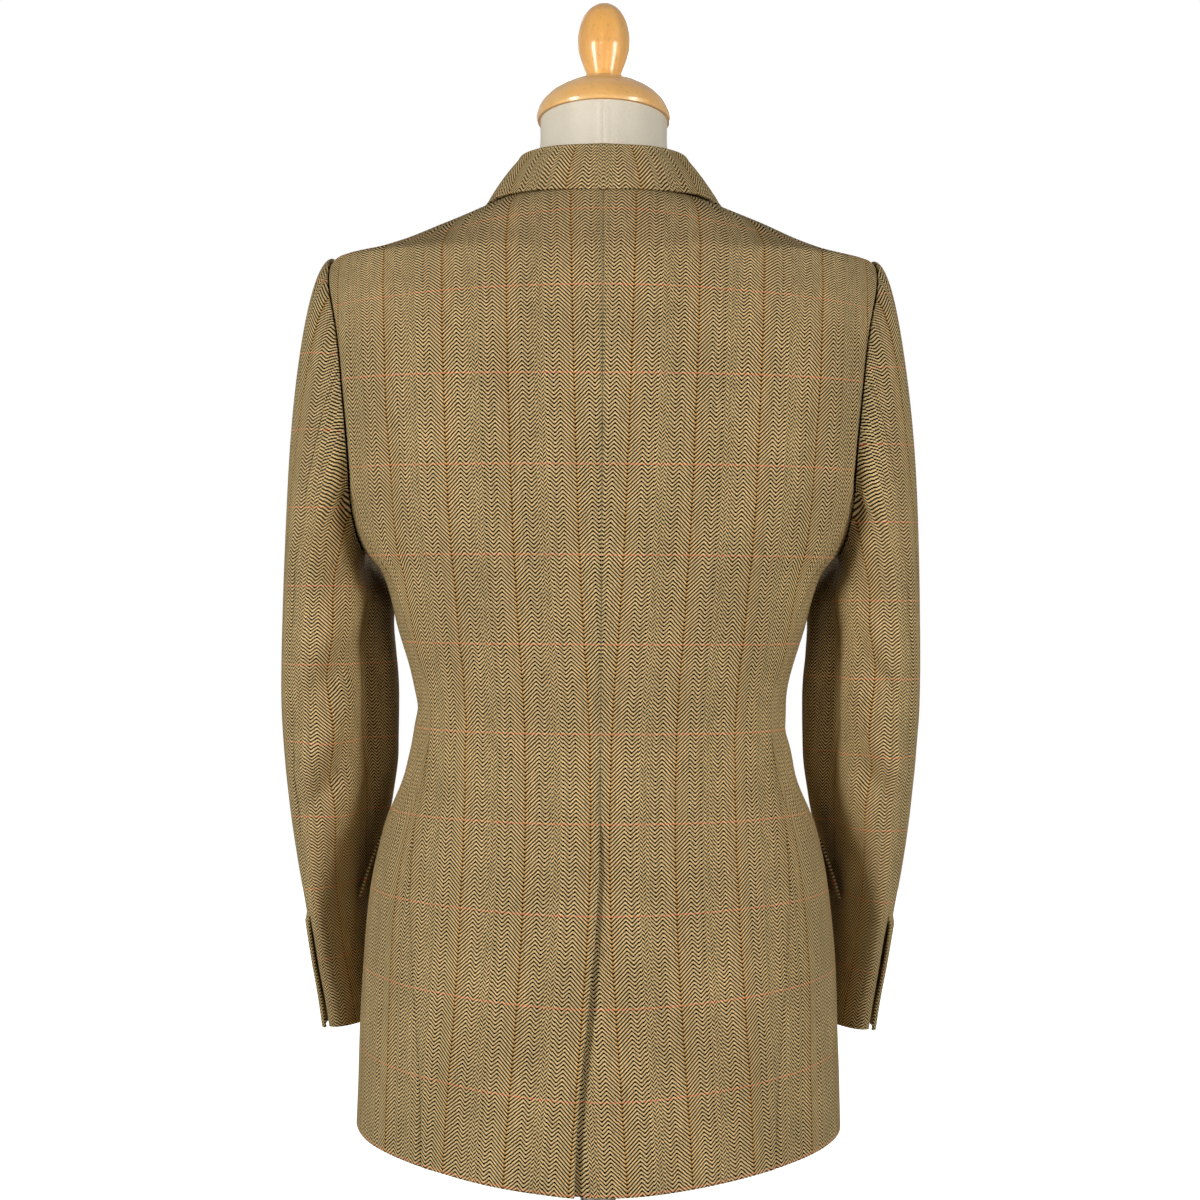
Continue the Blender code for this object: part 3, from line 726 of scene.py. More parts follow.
class HerringboneWeave(SharedGroup):
    """A two-and-two twill in bands that turn back, with a warp and a weft overcheck."""

    name = "herringbone_weave"
    inputs = (
        ("Cloth", "Vector"),
        ("Thread", "Float"),
        ("Light Yarn", "Color"),
        ("Dark Yarn", "Color"),
        ("Warp Check", "Color"),
        ("Weft Check", "Color"),
    )
    outputs = (("Color", "Color"), ("Height", "Float"), ("Roughness", "Float"))
    warp_half_repeat = 32
    weft_repeat = 88
    climb = 14
    turns = ((0, 0), (14, 14), (20, 8), (26, 14), (29, 11), (32, 14))
    broken_from = 26.2
    far_off = 88000.0
    wander_scale = 260.0
    drift_scale = 38.0
    tone_scale = 14.0
    fleck_scale = 900.0
    fleck_share = 0.02
    warp_check_share = 0.7
    warp_seed = 3.7
    weft_seed = 91.3
    slub_along = 0.055
    slub_across = 7.31
    own_share = 0.16

    def yarn_tint(self, graph: Graph, thread: Any, along: Any, seed: float) -> Any:
        """A yarn's own lightness, changing slowly along it.

        Args:
            graph: the group's graph.
            thread: the yarn's number.
            along: the place along it.
            seed: keeps warp and weft apart.

        Returns:
            The lightness.
        """
        own = graph.add("ShaderNodeTexWhiteNoise", noise_dimensions="1D")
        graph.feed(own.inputs["W"], graph.math("ADD", thread, seed))
        place = graph.add("ShaderNodeCombineXYZ")
        graph.feed(place.inputs[0], graph.math("MULTIPLY", along, self.slub_along))
        graph.feed(place.inputs[1], graph.math("MULTIPLY", thread, self.slub_across))
        slub = graph.span(graph.noise(place.outputs[0], 1.0), 0.25, 0.75, 0.72, 1.12)
        return graph.math("ADD", graph.math("MULTIPLY", own.outputs[0], self.own_share), slub)

    @staticmethod
    def sway(graph: Graph, value: Any, noise: Any, by: float) -> Any:
        """A value moved to and fro by a noise."""
        return graph.math("ADD", value, graph.math("MULTIPLY", graph.math("SUBTRACT", noise, 0.5), by))

    @staticmethod
    def roundness(graph: Graph, place: Any, thread: Any) -> Any:
        """How high a yarn stands at a place across it."""
        off = graph.math("SUBTRACT", graph.math("SUBTRACT", place, thread), 0.5)
        return graph.math("SUBTRACT", 1.0, graph.math("ABSOLUTE", off))

    def work(self, graph: Graph, given: Any) -> dict[str, Any]:
        """Lays the weave's nodes.

        Args:
            graph: the group's graph.
            given: the group's inputs.

        Returns:
            The weave's colour, height and roughness.
        """
        g = graph
        split = g.add("ShaderNodeSeparateXYZ")
        g.feed(split.inputs[0], given["Cloth"])
        wander = g.noise(given["Cloth"], self.wander_scale)
        drift = g.noise(given["Cloth"], self.drift_scale, 1.0)
        u = g.math("DIVIDE", split.outputs[0], given["Thread"])
        v = g.math("DIVIDE", split.outputs[1], given["Thread"])
        u = self.sway(g, self.sway(g, u, drift, 1.3), wander, 0.9)
        v = self.sway(g, v, wander, 1.1)
        end, pick = g.math("FLOOR", u), g.math("FLOOR", v)
        from_line = g.math("PINGPONG", g.math("ADD", end, 0.5), float(self.warp_half_repeat))
        share = g.math("DIVIDE", from_line, float(self.warp_half_repeat))
        stops = [(d / self.warp_half_repeat, (r / self.climb,) * 3) for d, r in self.turns]
        shift = g.math("MULTIPLY", g.ramp(share, stops), float(self.climb))
        odd_end = g.math("MODULO", g.math("ADD", end, self.far_off), 2.0)
        broken = g.math("MULTIPLY", g.math("GREATER_THAN", from_line, self.broken_from), odd_end)
        shift = g.math("ADD", shift, g.math("MULTIPLY", broken, 2.0))
        phase = g.math("DIVIDE", g.math("SUBTRACT", g.math("ADD", pick, 0.75), shift), 4.0)
        phase = g.math("SUBTRACT", phase, g.math("FLOOR", phase))
        warp_up = g.math("LESS_THAN", phase, 0.5)
        check_end = g.math("LESS_THAN", from_line, 1.1)
        in_weft = g.math("MODULO", g.math("ADD", pick, self.far_off + 0.5), float(self.weft_repeat))
        check_pick = g.math("LESS_THAN", in_weft, 2.1)
        check_end = g.math("MULTIPLY", check_end, self.warp_check_share)
        warp = g.mix(check_end, given["Light Yarn"], given["Warp Check"])
        weft = g.mix(check_pick, given["Dark Yarn"], given["Weft Check"])
        warp = g.mix(1.0, warp, self.yarn_tint(g, end, v, self.warp_seed), "MULTIPLY")
        weft = g.mix(1.0, weft, self.yarn_tint(g, pick, u, self.weft_seed), "MULTIPLY")
        woven = g.mix(warp_up, weft, warp)
        fleck = g.noise(given["Cloth"], self.fleck_scale, 3.0, Roughness=0.7)
        fibre = g.ramp(fleck, ((0.3, (0.16, 0.1, 0.03)), (0.7, (0.6, 0.46, 0.24))))
        woven = g.mix(self.fleck_share, woven, fibre)
        tone = g.span(g.noise(given["Cloth"], self.tone_scale), 0.3, 0.7, 0.9, 1.08)
        woven = g.mix(1.0, woven, tone, "MULTIPLY")
        lie = g.add("ShaderNodeMix", data_type="FLOAT")
        heights = (self.roundness(g, v, pick), self.roundness(g, u, end))
        for socket, value in zip(lie.inputs[:1] + lie.inputs[2:4], (warp_up, *heights)):
            g.feed(socket, value)
        height = g.math("ADD", lie.outputs[0], g.math("MULTIPLY", fleck, 0.5))
        rough = g.span(fleck, 0.3, 0.7, 0.86, 0.98)
        return {"Color": woven, "Height": height, "Roughness": rough}


class WoodGrain(SharedGroup):
    """Fine pores and soft year bands along the grain, with short ray flecks."""

    name = "wood_grain"
    inputs = (("Along", "Vector"), ("Pale", "Color"), ("Deep", "Color"))
    outputs = (("Color", "Color"), ("Height", "Float"), ("Roughness", "Float"))
    band_rate = (62, 62, 7)
    pore_rate = (1500, 1500, 90)
    ray_rate = (520, 900, 150)
    ray_colour = (0.42, 0.17, 0.04)

    def work(self, graph: Graph, given: Any) -> dict[str, Any]:
        """Lays the grain's nodes.

        Args:
            graph: the group's graph.
            given: the group's inputs; z of Along runs with the grain.

        Returns:
            The wood's colour, height and roughness.
        """
        g = graph
        bands = g.noise(g.stretch(given["Along"], self.band_rate), 1.0, 3.0, Roughness=0.55)
        pores = g.noise(g.stretch(given["Along"], self.pore_rate), 1.0, 2.0, Roughness=0.6)
        rays = g.noise(g.stretch(given["Along"], self.ray_rate), 1.0, 1.0)
        tone = g.mix(g.span(bands, 0.32, 0.68, 0.0, 1.0), given["Pale"], given["Deep"])
        tone = g.mix(g.span(pores, 0.5, 0.75, 0.0, 0.42), tone, given["Deep"])
        tone = g.mix(g.span(rays, 0.6, 0.74, 0.0, 0.35), tone, self.ray_colour)
        return {"Color": tone, "Height": pores, "Roughness": g.span(pores, 0.3, 0.7, 0.3, 0.42)}


class PlainWeave(SharedGroup):
    """One over, one under, in a single undyed yarn, with painted shade between the threads."""

    name = "plain_weave"
    inputs = (("Cloth", "Vector"), ("Thread", "Float"), ("Yarn", "Color"))
    outputs = (("Color", "Color"), ("Height", "Float"))
    # painted shade: the darker colour that the low places between the threads are mixed towards
    between = (0.5, 0.41, 0.29)
    slub_colour = (0.62, 0.5, 0.34)
    slub_rate = (240, 1600, 1)
    soil_colour = (0.45, 0.36, 0.24)
    soil_scale = 22.0

    def work(self, graph: Graph, given: Any) -> dict[str, Any]:
        """Lays the weave's nodes.

        Args:
            graph: the group's graph.
            given: the group's inputs.

        Returns:
            The weave's colour and height.
        """
        g = graph
        split = g.add("ShaderNodeSeparateXYZ")
        g.feed(split.inputs[0], given["Cloth"])
        rate = g.math("DIVIDE", math.pi, given["Thread"])
        warp = g.math("SINE", g.math("MULTIPLY", split.outputs[0], rate))
        weft = g.math("SINE", g.math("MULTIPLY", split.outputs[1], rate))
        height = g.math("MULTIPLY", warp, weft)
        slub = g.noise(g.stretch(given["Cloth"], self.slub_rate), 1.0)
        soil = g.noise(given["Cloth"], self.soil_scale)
        # painted shade: where the threads dip, the yarn is mixed towards the darker gap colour
        tone = g.mix(g.span(height, -1.0, 1.0, 0.35, 0.0), given["Yarn"], self.between)
        tone = g.mix(g.span(slub, 0.45, 0.75, 0.0, 0.3), tone, self.slub_colour)
        tone = g.mix(g.span(soil, 0.45, 0.8, 0.0, 0.14), tone, self.soil_colour)
        return {"Color": tone, "Height": g.math("ADD", height, g.math("MULTIPLY", slub, 0.8))}


class Mottle(SharedGroup):
    """Cloudy streaks between two tones, for horn and metal."""

    name = "mottle"
    inputs = (("Place", "Vector"), ("Scale", "Float"), ("Low", "Color"), ("High", "Color"))
    detail = 4.0
    distortion = 1.4
    ends = (0.36, 0.66)
    outputs = (("Color", "Color"), ("Value", "Float"))

    def work(self, graph: Graph, given: Any) -> dict[str, Any]:
        """Lays the streaks' nodes.

        Args:
            graph: the group's graph.
            given: the group's inputs.

        Returns:
            The streaks' colour and value.
        """
        cloud = graph.noise(given["Place"], given["Scale"], self.detail, Distortion=self.distortion)
        spread = graph.span(cloud, *self.ends, 0.0, 1.0)
        return {"Color": graph.mix(spread, given["Low"], given["High"]), "Value": spread}


class Finish:
    """A procedural material, made the first time it is asked for."""

    slot: Slot
    name: str

    def material(self) -> bpy.types.Material:
        """The finish's material."""
        made = bpy.data.materials.get(self.name)
        if made:
            return made
        made = bpy.data.materials.new(self.name)
        made.use_nodes = True
        shader = made.node_tree.nodes["Principled BSDF"]
        self.colour(Graph(made.node_tree), shader)
        return made

    def colour(self, graph: Graph, shader: Node) -> None:
        """Lays the material's nodes and joins them to its shader."""
        raise NotImplementedError

    @staticmethod
    def bump(graph: Graph, shader: Node, height: Any, strength: float, distance: float) -> None:
        """Feeds a height to the shader's normal.

        Args:
            graph: the material's graph.
            shader: its Principled BSDF.
            height: the socket that gives the height.
            strength: the bump's strength.
            distance: the bump's full height in metres.
        """
        node = graph.add("ShaderNodeBump")
        graph.settle(node, {"Strength": strength, "Distance": distance, "Height": height})
        graph.feed(shader.inputs["Normal"], node.outputs[0])

    def dress(self, made: Object, *nodes: str) -> Object:
        """Finishes an object, ties it to the part's body and lets it stand for CAD nodes.

        Args:
            made: the object.
            nodes: the CAD nodes that it stands for.

        Returns:
            The same object.
        """
        made.data.materials.clear()
        made.data.materials.append(self.material())
        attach(made, "root")
        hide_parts(*nodes)
        return made


@dataclass(frozen=True)
class TweedFinish(Finish):
    """Herringbone tweed with ochre and red overcheck lines."""

    name: str = "tweed_herringbone"
    slot: Slot = Slot.TWEED
    thread: float = 0.00076
    light: Colour = (0.86, 0.64, 0.31)
    dark: Colour = (0.008, 0.004, 0.0004)
    ochre: Colour = (0.64, 0.28, 0.03)
    red: Colour = (0.42, 0.02, 0.02)

    def colour(self, graph: Graph, shader: Node) -> None:
        """Joins the weave to the shader, with a little sheen from the raised fibres."""
        cloth = graph.add("ShaderNodeUVMap", uv_map="cloth")
        weave = HerringboneWeave().place(
            graph,
            Cloth=cloth.outputs[0],
            Thread=self.thread,
            Light_Yarn=self.light,
            Dark_Yarn=self.dark,
            Warp_Check=self.ochre,
            Weft_Check=self.red,
        )
        looks = {"Base Color": weave["Color"], "Roughness": weave["Roughness"]}
        looks |= {"Sheen Weight": 0.004, "Sheen Roughness": 0.6, "Specular IOR Level": 0.04}
        graph.settle(shader, looks)
        self.bump(graph, shader, weave["Height"], 0.55, 0.0004)


@dataclass(frozen=True)
class LinenFinish(Finish):
    """The form's cream cover."""

    name: str = "linen_cover"
    slot: Slot = Slot.LINEN
    thread: float = 0.0006
    yarn: Colour = (0.98, 0.91, 0.74)

    def colour(self, graph: Graph, shader: Node) -> None:
        """Joins the plain weave to the shader."""
        cloth = graph.add("ShaderNodeUVMap", uv_map="cover")
        weave = PlainWeave().place(graph, Cloth=cloth.outputs[0], Thread=self.thread, Yarn=self.yarn)
        graph.settle(shader, {"Base Color": weave["Color"], "Roughness": 0.88, "Sheen Weight": 0.08})
        self.bump(graph, shader, weave["Height"], 0.35, 0.0002)


@dataclass(frozen=True)
class BeechFinish(Finish):
    """Varnished beech, with its grain along a chosen axis."""

    name: str = "beech_upright"
    slot: Slot = Slot.BEECH
    pale: Colour = (1.0, 0.54, 0.13)
    deep: Colour = (0.88, 0.4, 0.07)
    turn: tuple[float, float, float] = (0.0, 0.0, 0.0)

    def colour(self, graph: Graph, shader: Node) -> None:
        """Joins the grain to the shader under a clear coat."""
        place = graph.add("ShaderNodeTexCoord")
        lie = graph.add("ShaderNodeMapping")
        graph.settle(lie, {"Vector": place.outputs["Object"], "Rotation": self.turn})
        grain = WoodGrain().place(graph, Along=lie.outputs[0], Pale=self.pale, Deep=self.deep)
        looks = {"Base Color": grain["Color"], "Roughness": grain["Roughness"]}
        graph.settle(shader, looks | {"Coat Weight": 0.7, "Coat Roughness": 0.12})
        self.bump(graph, shader, grain["Height"], 0.08, 0.0002)


@dataclass(frozen=True)
class StreakedFinish(Finish):
    """Horn or metal with cloudy streaks."""

    name: str
    slot: Slot
    low: Colour
    high: Colour
    scale: float
    metallic: float
    rough_low: float
    rough_high: float
    stretch: tuple[float, float, float] = (1.0, 1.0, 1.0)
    coat: float = 0.0

    def colour(self, graph: Graph, shader: Node) -> None:
        """Joins the streaks to the shader."""
        place = graph.add("ShaderNodeTexCoord")
        along = graph.stretch(place.outputs["Object"], self.stretch)
        streaks = Mottle().place(graph, Place=along, Scale=self.scale, Low=self.low, High=self.high)
        rough = graph.span(streaks["Value"], 0.0, 1.0, self.rough_low, self.rough_high)
        looks = {"Base Color": streaks["Color"], "Roughness": rough}
        graph.settle(shader, looks | {"Metallic": self.metallic, "Coat Weight": self.coat})
        self.bump(graph, shader, streaks["Value"], 0.06, 0.0002)


TWEED = TweedFinish()
LINEN = LinenFinish()
BEECH_UP = BeechFinish()
BEECH_ACROSS = BeechFinish(
    name="beech_across",
    pale=(0.98, 0.58, 0.18),
    deep=(0.88, 0.44, 0.11),
    turn=(0.0, math.radians(88), 0.0),
)
HORN = StreakedFinish(
    name="horn_polished",
    slot=Slot.HORN,
    low=(0.035, 0.017, 0.008),
    high=(0.15, 0.075, 0.03),
    scale=160.0,
    metallic=0.0,
    rough_low=0.22,
    rough_high=0.36,
    stretch=(1.0, 1.0, 0.35),
    coat=0.4,
)
STEEL = StreakedFinish(
    name="steel_brushed",
    slot=Slot.STEEL,
    low=(0.42, 0.41, 0.39),
    high=(0.6, 0.59, 0.57),
    scale=40.0,
    metallic=1.0,
    rough_low=0.24,
    rough_high=0.4,
    stretch=(12.0, 12.0, 0.6),
)
IRON = StreakedFinish(
    name="iron_painted",
    slot=Slot.IRON,
    low=(0.05, 0.048, 0.046),
    high=(0.085, 0.082, 0.078),
    scale=220.0,
    metallic=0.0,
    rough_low=0.42,
    rough_high=0.6,
)


@dataclass
class Laid:
    """A panel laid out on the right side: its base points, relief and place in the cloth."""

    points: Array
    relief: Array
    cloth: Array


@dataclass
class ClothPanel:
    """One cut piece of cloth: a grid of points with its relief, made into a thin wall."""

    body: BodyForm
    hand: Hand
    rows: int = 100
    cols: int = 60
    thickness: float = 2.0
    hold: Hold = Hold.HUNG
    faces_in: bool = False
    rests_on: tuple[str, ...] = ("form_body",)
    even_share: float = 0.38
    edge_round: float = 0.55
    edge_angle: float = 50
    seam_change: float = 12
    stem = ""

    @property
    def name(self) -> str:
        """The CAD node that the panel stands for."""
        return f"{self.stem}_{self.hand.word}"

    def lay(self, row: Array, col: Array) -> Laid:
        """Lays the panel out, row and col each from 0 to 1."""
        raise NotImplementedError

    def seam_cols(self, col: Array) -> Array:
        """Columns drawn closer together towards both seams."""
        return self.even_share * col + (1 - self.even_share) * (1 - np.cos(math.pi * col)) / 2

    def outer_seam(self, seam: Seam, z: Array, distance: Array, facing: Facing) -> Array:
        """The relief of a side seam and, above it, of the armhole's seam.

        Args:
            seam: the side seam.
            z: height.
            distance: distance from the panel's outer edge.
            facing: which side seam it is.

        Returns:
            The move out in millimetres.
        """
        above = smooth((z - self.body.seam_top(facing)) / self.seam_change)
        return seam.relief(distance) * (1 - above) + ARMHOLE_SEAM.relief(distance) * above

    def folded(self, across: Array, z: Array, creases: dict[Hand, tuple[Crease, ...]]) -> Array:
        """The relief of all creases on the panel's side."""
        return sum(crease.relief(across, z) for crease in creases[self.hand])

    def build(self) -> Object:
        """Makes the panel's mesh, wall and cloth coordinates.

        Returns:
            The finished object.
        """
        down, along = np.linspace(0, 1, self.rows + 1), np.linspace(0, 1, self.cols + 1)
        row, col = np.meshgrid(down, along, indexing="ij")
        laid = self.lay(row, col)
        across, up = np.gradient(laid.points, axis=1), np.gradient(laid.points, axis=0)
        facing = np.cross(across, up)
        facing /= np.maximum(np.linalg.norm(facing, axis=-1, keepdims=True), 1e-9)
        if self.faces_in:
            facing = -facing
        points = laid.points + facing * laid.relief[..., None]
        points[..., 0] *= self.hand.value
        mesh = self.mesh(points * MM, laid.cloth * MM)
        made = bpy.data.objects.new(self.name + "_cloth", mesh)
        bpy.context.scene.collection.objects.link(made)
        wall = made.modifiers.new("wall", "SOLIDIFY")
        wall.thickness = self.thickness * MM
        wall.offset = -1
        edge = made.modifiers.new("edge", "BEVEL")
        edge.width, edge.segments = self.edge_round * MM, 2
        edge.angle_limit = math.radians(self.edge_angle)
        TWEED.dress(made, self.name)
        self.declare(laid)
        return made

    def mesh(self, points: Array, cloth: Array) -> bpy.types.Mesh:
        """A grid mesh with its points placed and its cloth coordinates set.

        Args:
            points: the grid's points in metres.
            cloth: the place of each point in the cloth, in metres.

        Returns:
            The mesh, facing outwards.
        """
        bm = bmesh.new()
        bmesh.ops.create_grid(bm, x_segments=self.cols, y_segments=self.rows, size=0.5)
        mesh = bpy.data.meshes.new(self.name + "_cloth")
        bm.to_mesh(mesh)
        bm.free()
        flat = np.empty(len(mesh.vertices) * 3)
        mesh.vertices.foreach_get("co", flat)
        flat = flat.reshape(-1, 3)
        j = np.rint((flat[:, 0] + 0.5) * self.cols).astype(int)
        i = np.rint((flat[:, 1] + 0.5) * self.rows).astype(int)
        mesh.vertices.foreach_set("co", points[i, j].ravel())
        if (self.hand is Hand.LEFT) != self.faces_in:
            mesh.flip_normals()
        of_loop = np.empty(len(mesh.loops), np.int32)
        mesh.loops.foreach_get("vertex_index", of_loop)
        mesh.uv_layers.new(name="cloth").data.foreach_set("uv", cloth[i, j][of_loop].ravel())
        mesh.shade_smooth()
        mesh.update()
        return mesh

    def declare(self, laid: Laid) -> None:
        """States the piece's flat cut.

        Args:
            laid: the panel as it was laid out.
        """
        wide = run_along(laid.points, 1)[:, -1]
        tall = run_along(laid.points, 0)[-1]
        across, up = np.diff(laid.points, axis=1)[:-1], np.diff(laid.points, axis=0)[:, :-1]
        area = float(np.linalg.norm(np.cross(across, up), axis=-1).sum()) * MM * MM
        flat = (float(wide.max()) * MM, float(tall.max()) * MM)
        LOG.info("%s: cut %.3f x %.3f m, %.4f m2", self.name, *flat, area)
        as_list(self.rests_on)


@dataclass
class BackPanel(ClothPanel):
    """A back half, with the centre vent: the left laps over the right's extension."""

    rows: int = 210
    cols: int = 92
    row_stops: tuple[float, ...] = (0, 0.28, 0.36, 0.62, 0.8, 1)
    z_stops: tuple[float, ...] = (130, 345, 400, 645, 822, 879)
    vent_top: float = 388
    vent_swing: float = 17
    underlap: float = 34
    vent_ease: float = 15
    vent_step: float = 9
    vent_clear: float = 1.5
    layer_drop: float = 3.0
    vent_curl: float = 2.4
    vent_curl_width: float = 16
    vent_curl_below: float = 8
    vent_curl_ease: float = 130
    centre_ease: float = 4
    centre_change: float = 10
    edge_ease: float = 22
    droop: float = 0.00124
    stem = "back"
    first_line: Track = Track((130, 388, 463, 548, 604, 732, 875), (21.5, 7, 8.3, 13.5, 16.5, 21, 25))
    phases: dict[Hand, float] = field(default_factory=lambda: {Hand.LEFT: 1.3, Hand.RIGHT: 4.4})
    creases: dict[Hand, tuple[Crease, ...]] = field(
        default_factory=lambda: {
            Hand.LEFT: (
                Crease((168, 590), (150, 720), 11, -2.2, 6),
                Crease((140, 452), (62, 486), 10, -1.1),
                Crease((128, 500), (70, 520), 11, -0.8),
                Crease((60, 150), (48, 330), 20, -1.6, 5),
                Crease((138, 140), (118, 350), 22, -1.8, -6),
            ),
            Hand.RIGHT: (
                Crease((172, 600), (156, 735), 13, -1.8, 5),
                Crease((132, 446), (70, 470), 10, -1.0),
                Crease((120, 512), (60, 536), 12, -0.7),
                Crease((84, 150), (70, 340), 22, -1.7, -5),
                Crease((160, 145), (140, 330), 20, -1.5, 5),
            ),
        }
    )

    def swing(self, z: Array) -> Array:
        """How far the left's vent edge has swung from the centre."""
        return self.vent_swing * smooth((self.vent_top - z) / (self.vent_top - self.body.hem_z))

    def lay(self, row: Array, col: Array) -> Laid:
        """Lays the panel from the centre back to the side seam, armhole and shoulder seam."""
        body = self.body
        z = np.interp(row, self.row_stops, self.z_stops)
        swing = self.swing(z)
        if self.hand is Hand.LEFT:
            start = body.gap + swing
        else:
            start = body.gap - (self.underlap + swing) * smooth((self.vent_top - z) / self.vent_ease)
        first = body.angle_at_x(z, start, Facing.BACK)
        angle = mix(first, body.outer_edge(z, Facing.BACK), self.seam_cols(col))
        points = body.point(z, angle)
        run = run_along(points, 1)
        across = run + start
        from_edge = run[:, -1:] - run
        from_middle = np.abs(across)
        relief = Unevenness(self.phases[self.hand]).relief(across, z)
        relief += self.folded(across, z, self.creases)
        inside = smooth((from_middle + self.centre_ease) / self.edge_ease)
        relief *= inside * smooth(from_edge / self.edge_ease)
        over_vent = smooth((z - self.vent_top + self.centre_ease) / self.centre_change)
        relief += PLAIN_SEAM.relief(from_middle) * over_vent
        relief += self.outer_seam(FLAT_SEAM, z, from_edge, Facing.BACK)
        if self.hand is Hand.RIGHT:
            past = points[..., 0] + swing
            tucked = smooth((self.vent_step + self.vent_clear - past) / self.vent_step)
            relief -= self.layer_drop * tucked * smooth((self.vent_top + self.vent_ease - z) / self.vent_ease)
        else:
            curl = self.vent_curl * bell(run, self.vent_curl_width)
            relief += curl * smooth((self.vent_top - self.vent_curl_below - z) / self.vent_curl_ease)
        v = body.weft(z) + body.droop(points, z, self.droop)
        return Laid(points, relief, np.stack([across - self.first_line(z), v], axis=-1))


@dataclass
class SidePanel(ClothPanel):
    """The side body, between the back's and the front's seams, up to the armhole."""

    rows: int = 150
    cols: int = 44
    stem = "side"
    phase: float = 2.7
    first_line: float = 11
    edge_ease: float = 18
    top_ease: float = 30
    top_steps: int = 14
    creases: dict[Hand, tuple[Crease, ...]] = field(
        default_factory=lambda: {
            Hand.LEFT: (Crease((20, 470), (95, 492), 9, -1.3), Crease((30, 160), (42, 330), 16, -1.4)),
            Hand.RIGHT: (Crease((15, 452), (90, 470), 9, -1.2), Crease((46, 150), (38, 310), 17, -1.3)),
        }
    )

    def angle_at(self, z: Array, col: Array) -> Array:
        """The angle of a column at a height."""
        body = self.body
        first, last = body.seam(z, Facing.BACK), body.seam(z, Facing.FRONT)
        return mix(first + body.gap_angle(z, first), last - body.gap_angle(z, last), self.seam_cols(col))

    def lay(self, row: Array, col: Array) -> Laid:
        """Lays the panel from the back seam to the front seam."""
        body = self.body
        top = np.full_like(col, body.armhole_low)
        for _ in range(self.top_steps):
            top = body.armhole_floor(body.point(top, self.angle_at(top, col))[..., 1])
        z = mix(body.hem_z, top, row)
        points = body.point(z, self.angle_at(z, col))
        run = run_along(points, 1)
        back_run = run[:, -1:] - run
        relief = Unevenness(self.phase * self.hand.value).relief(run, z) * smooth((top - z) / self.top_ease)
        relief += self.folded(run, z, self.creases)
        relief *= smooth(run / self.edge_ease) * smooth(back_run / self.edge_ease)
        relief += FLAT_SEAM.relief(run) + FLAT_SEAM.relief(back_run)
        middle = self.cols // 2
        u = run - run[:, middle : middle + 1] + self.first_line
        return Laid(points, relief, np.stack([u, body.weft(z)], axis=-1))


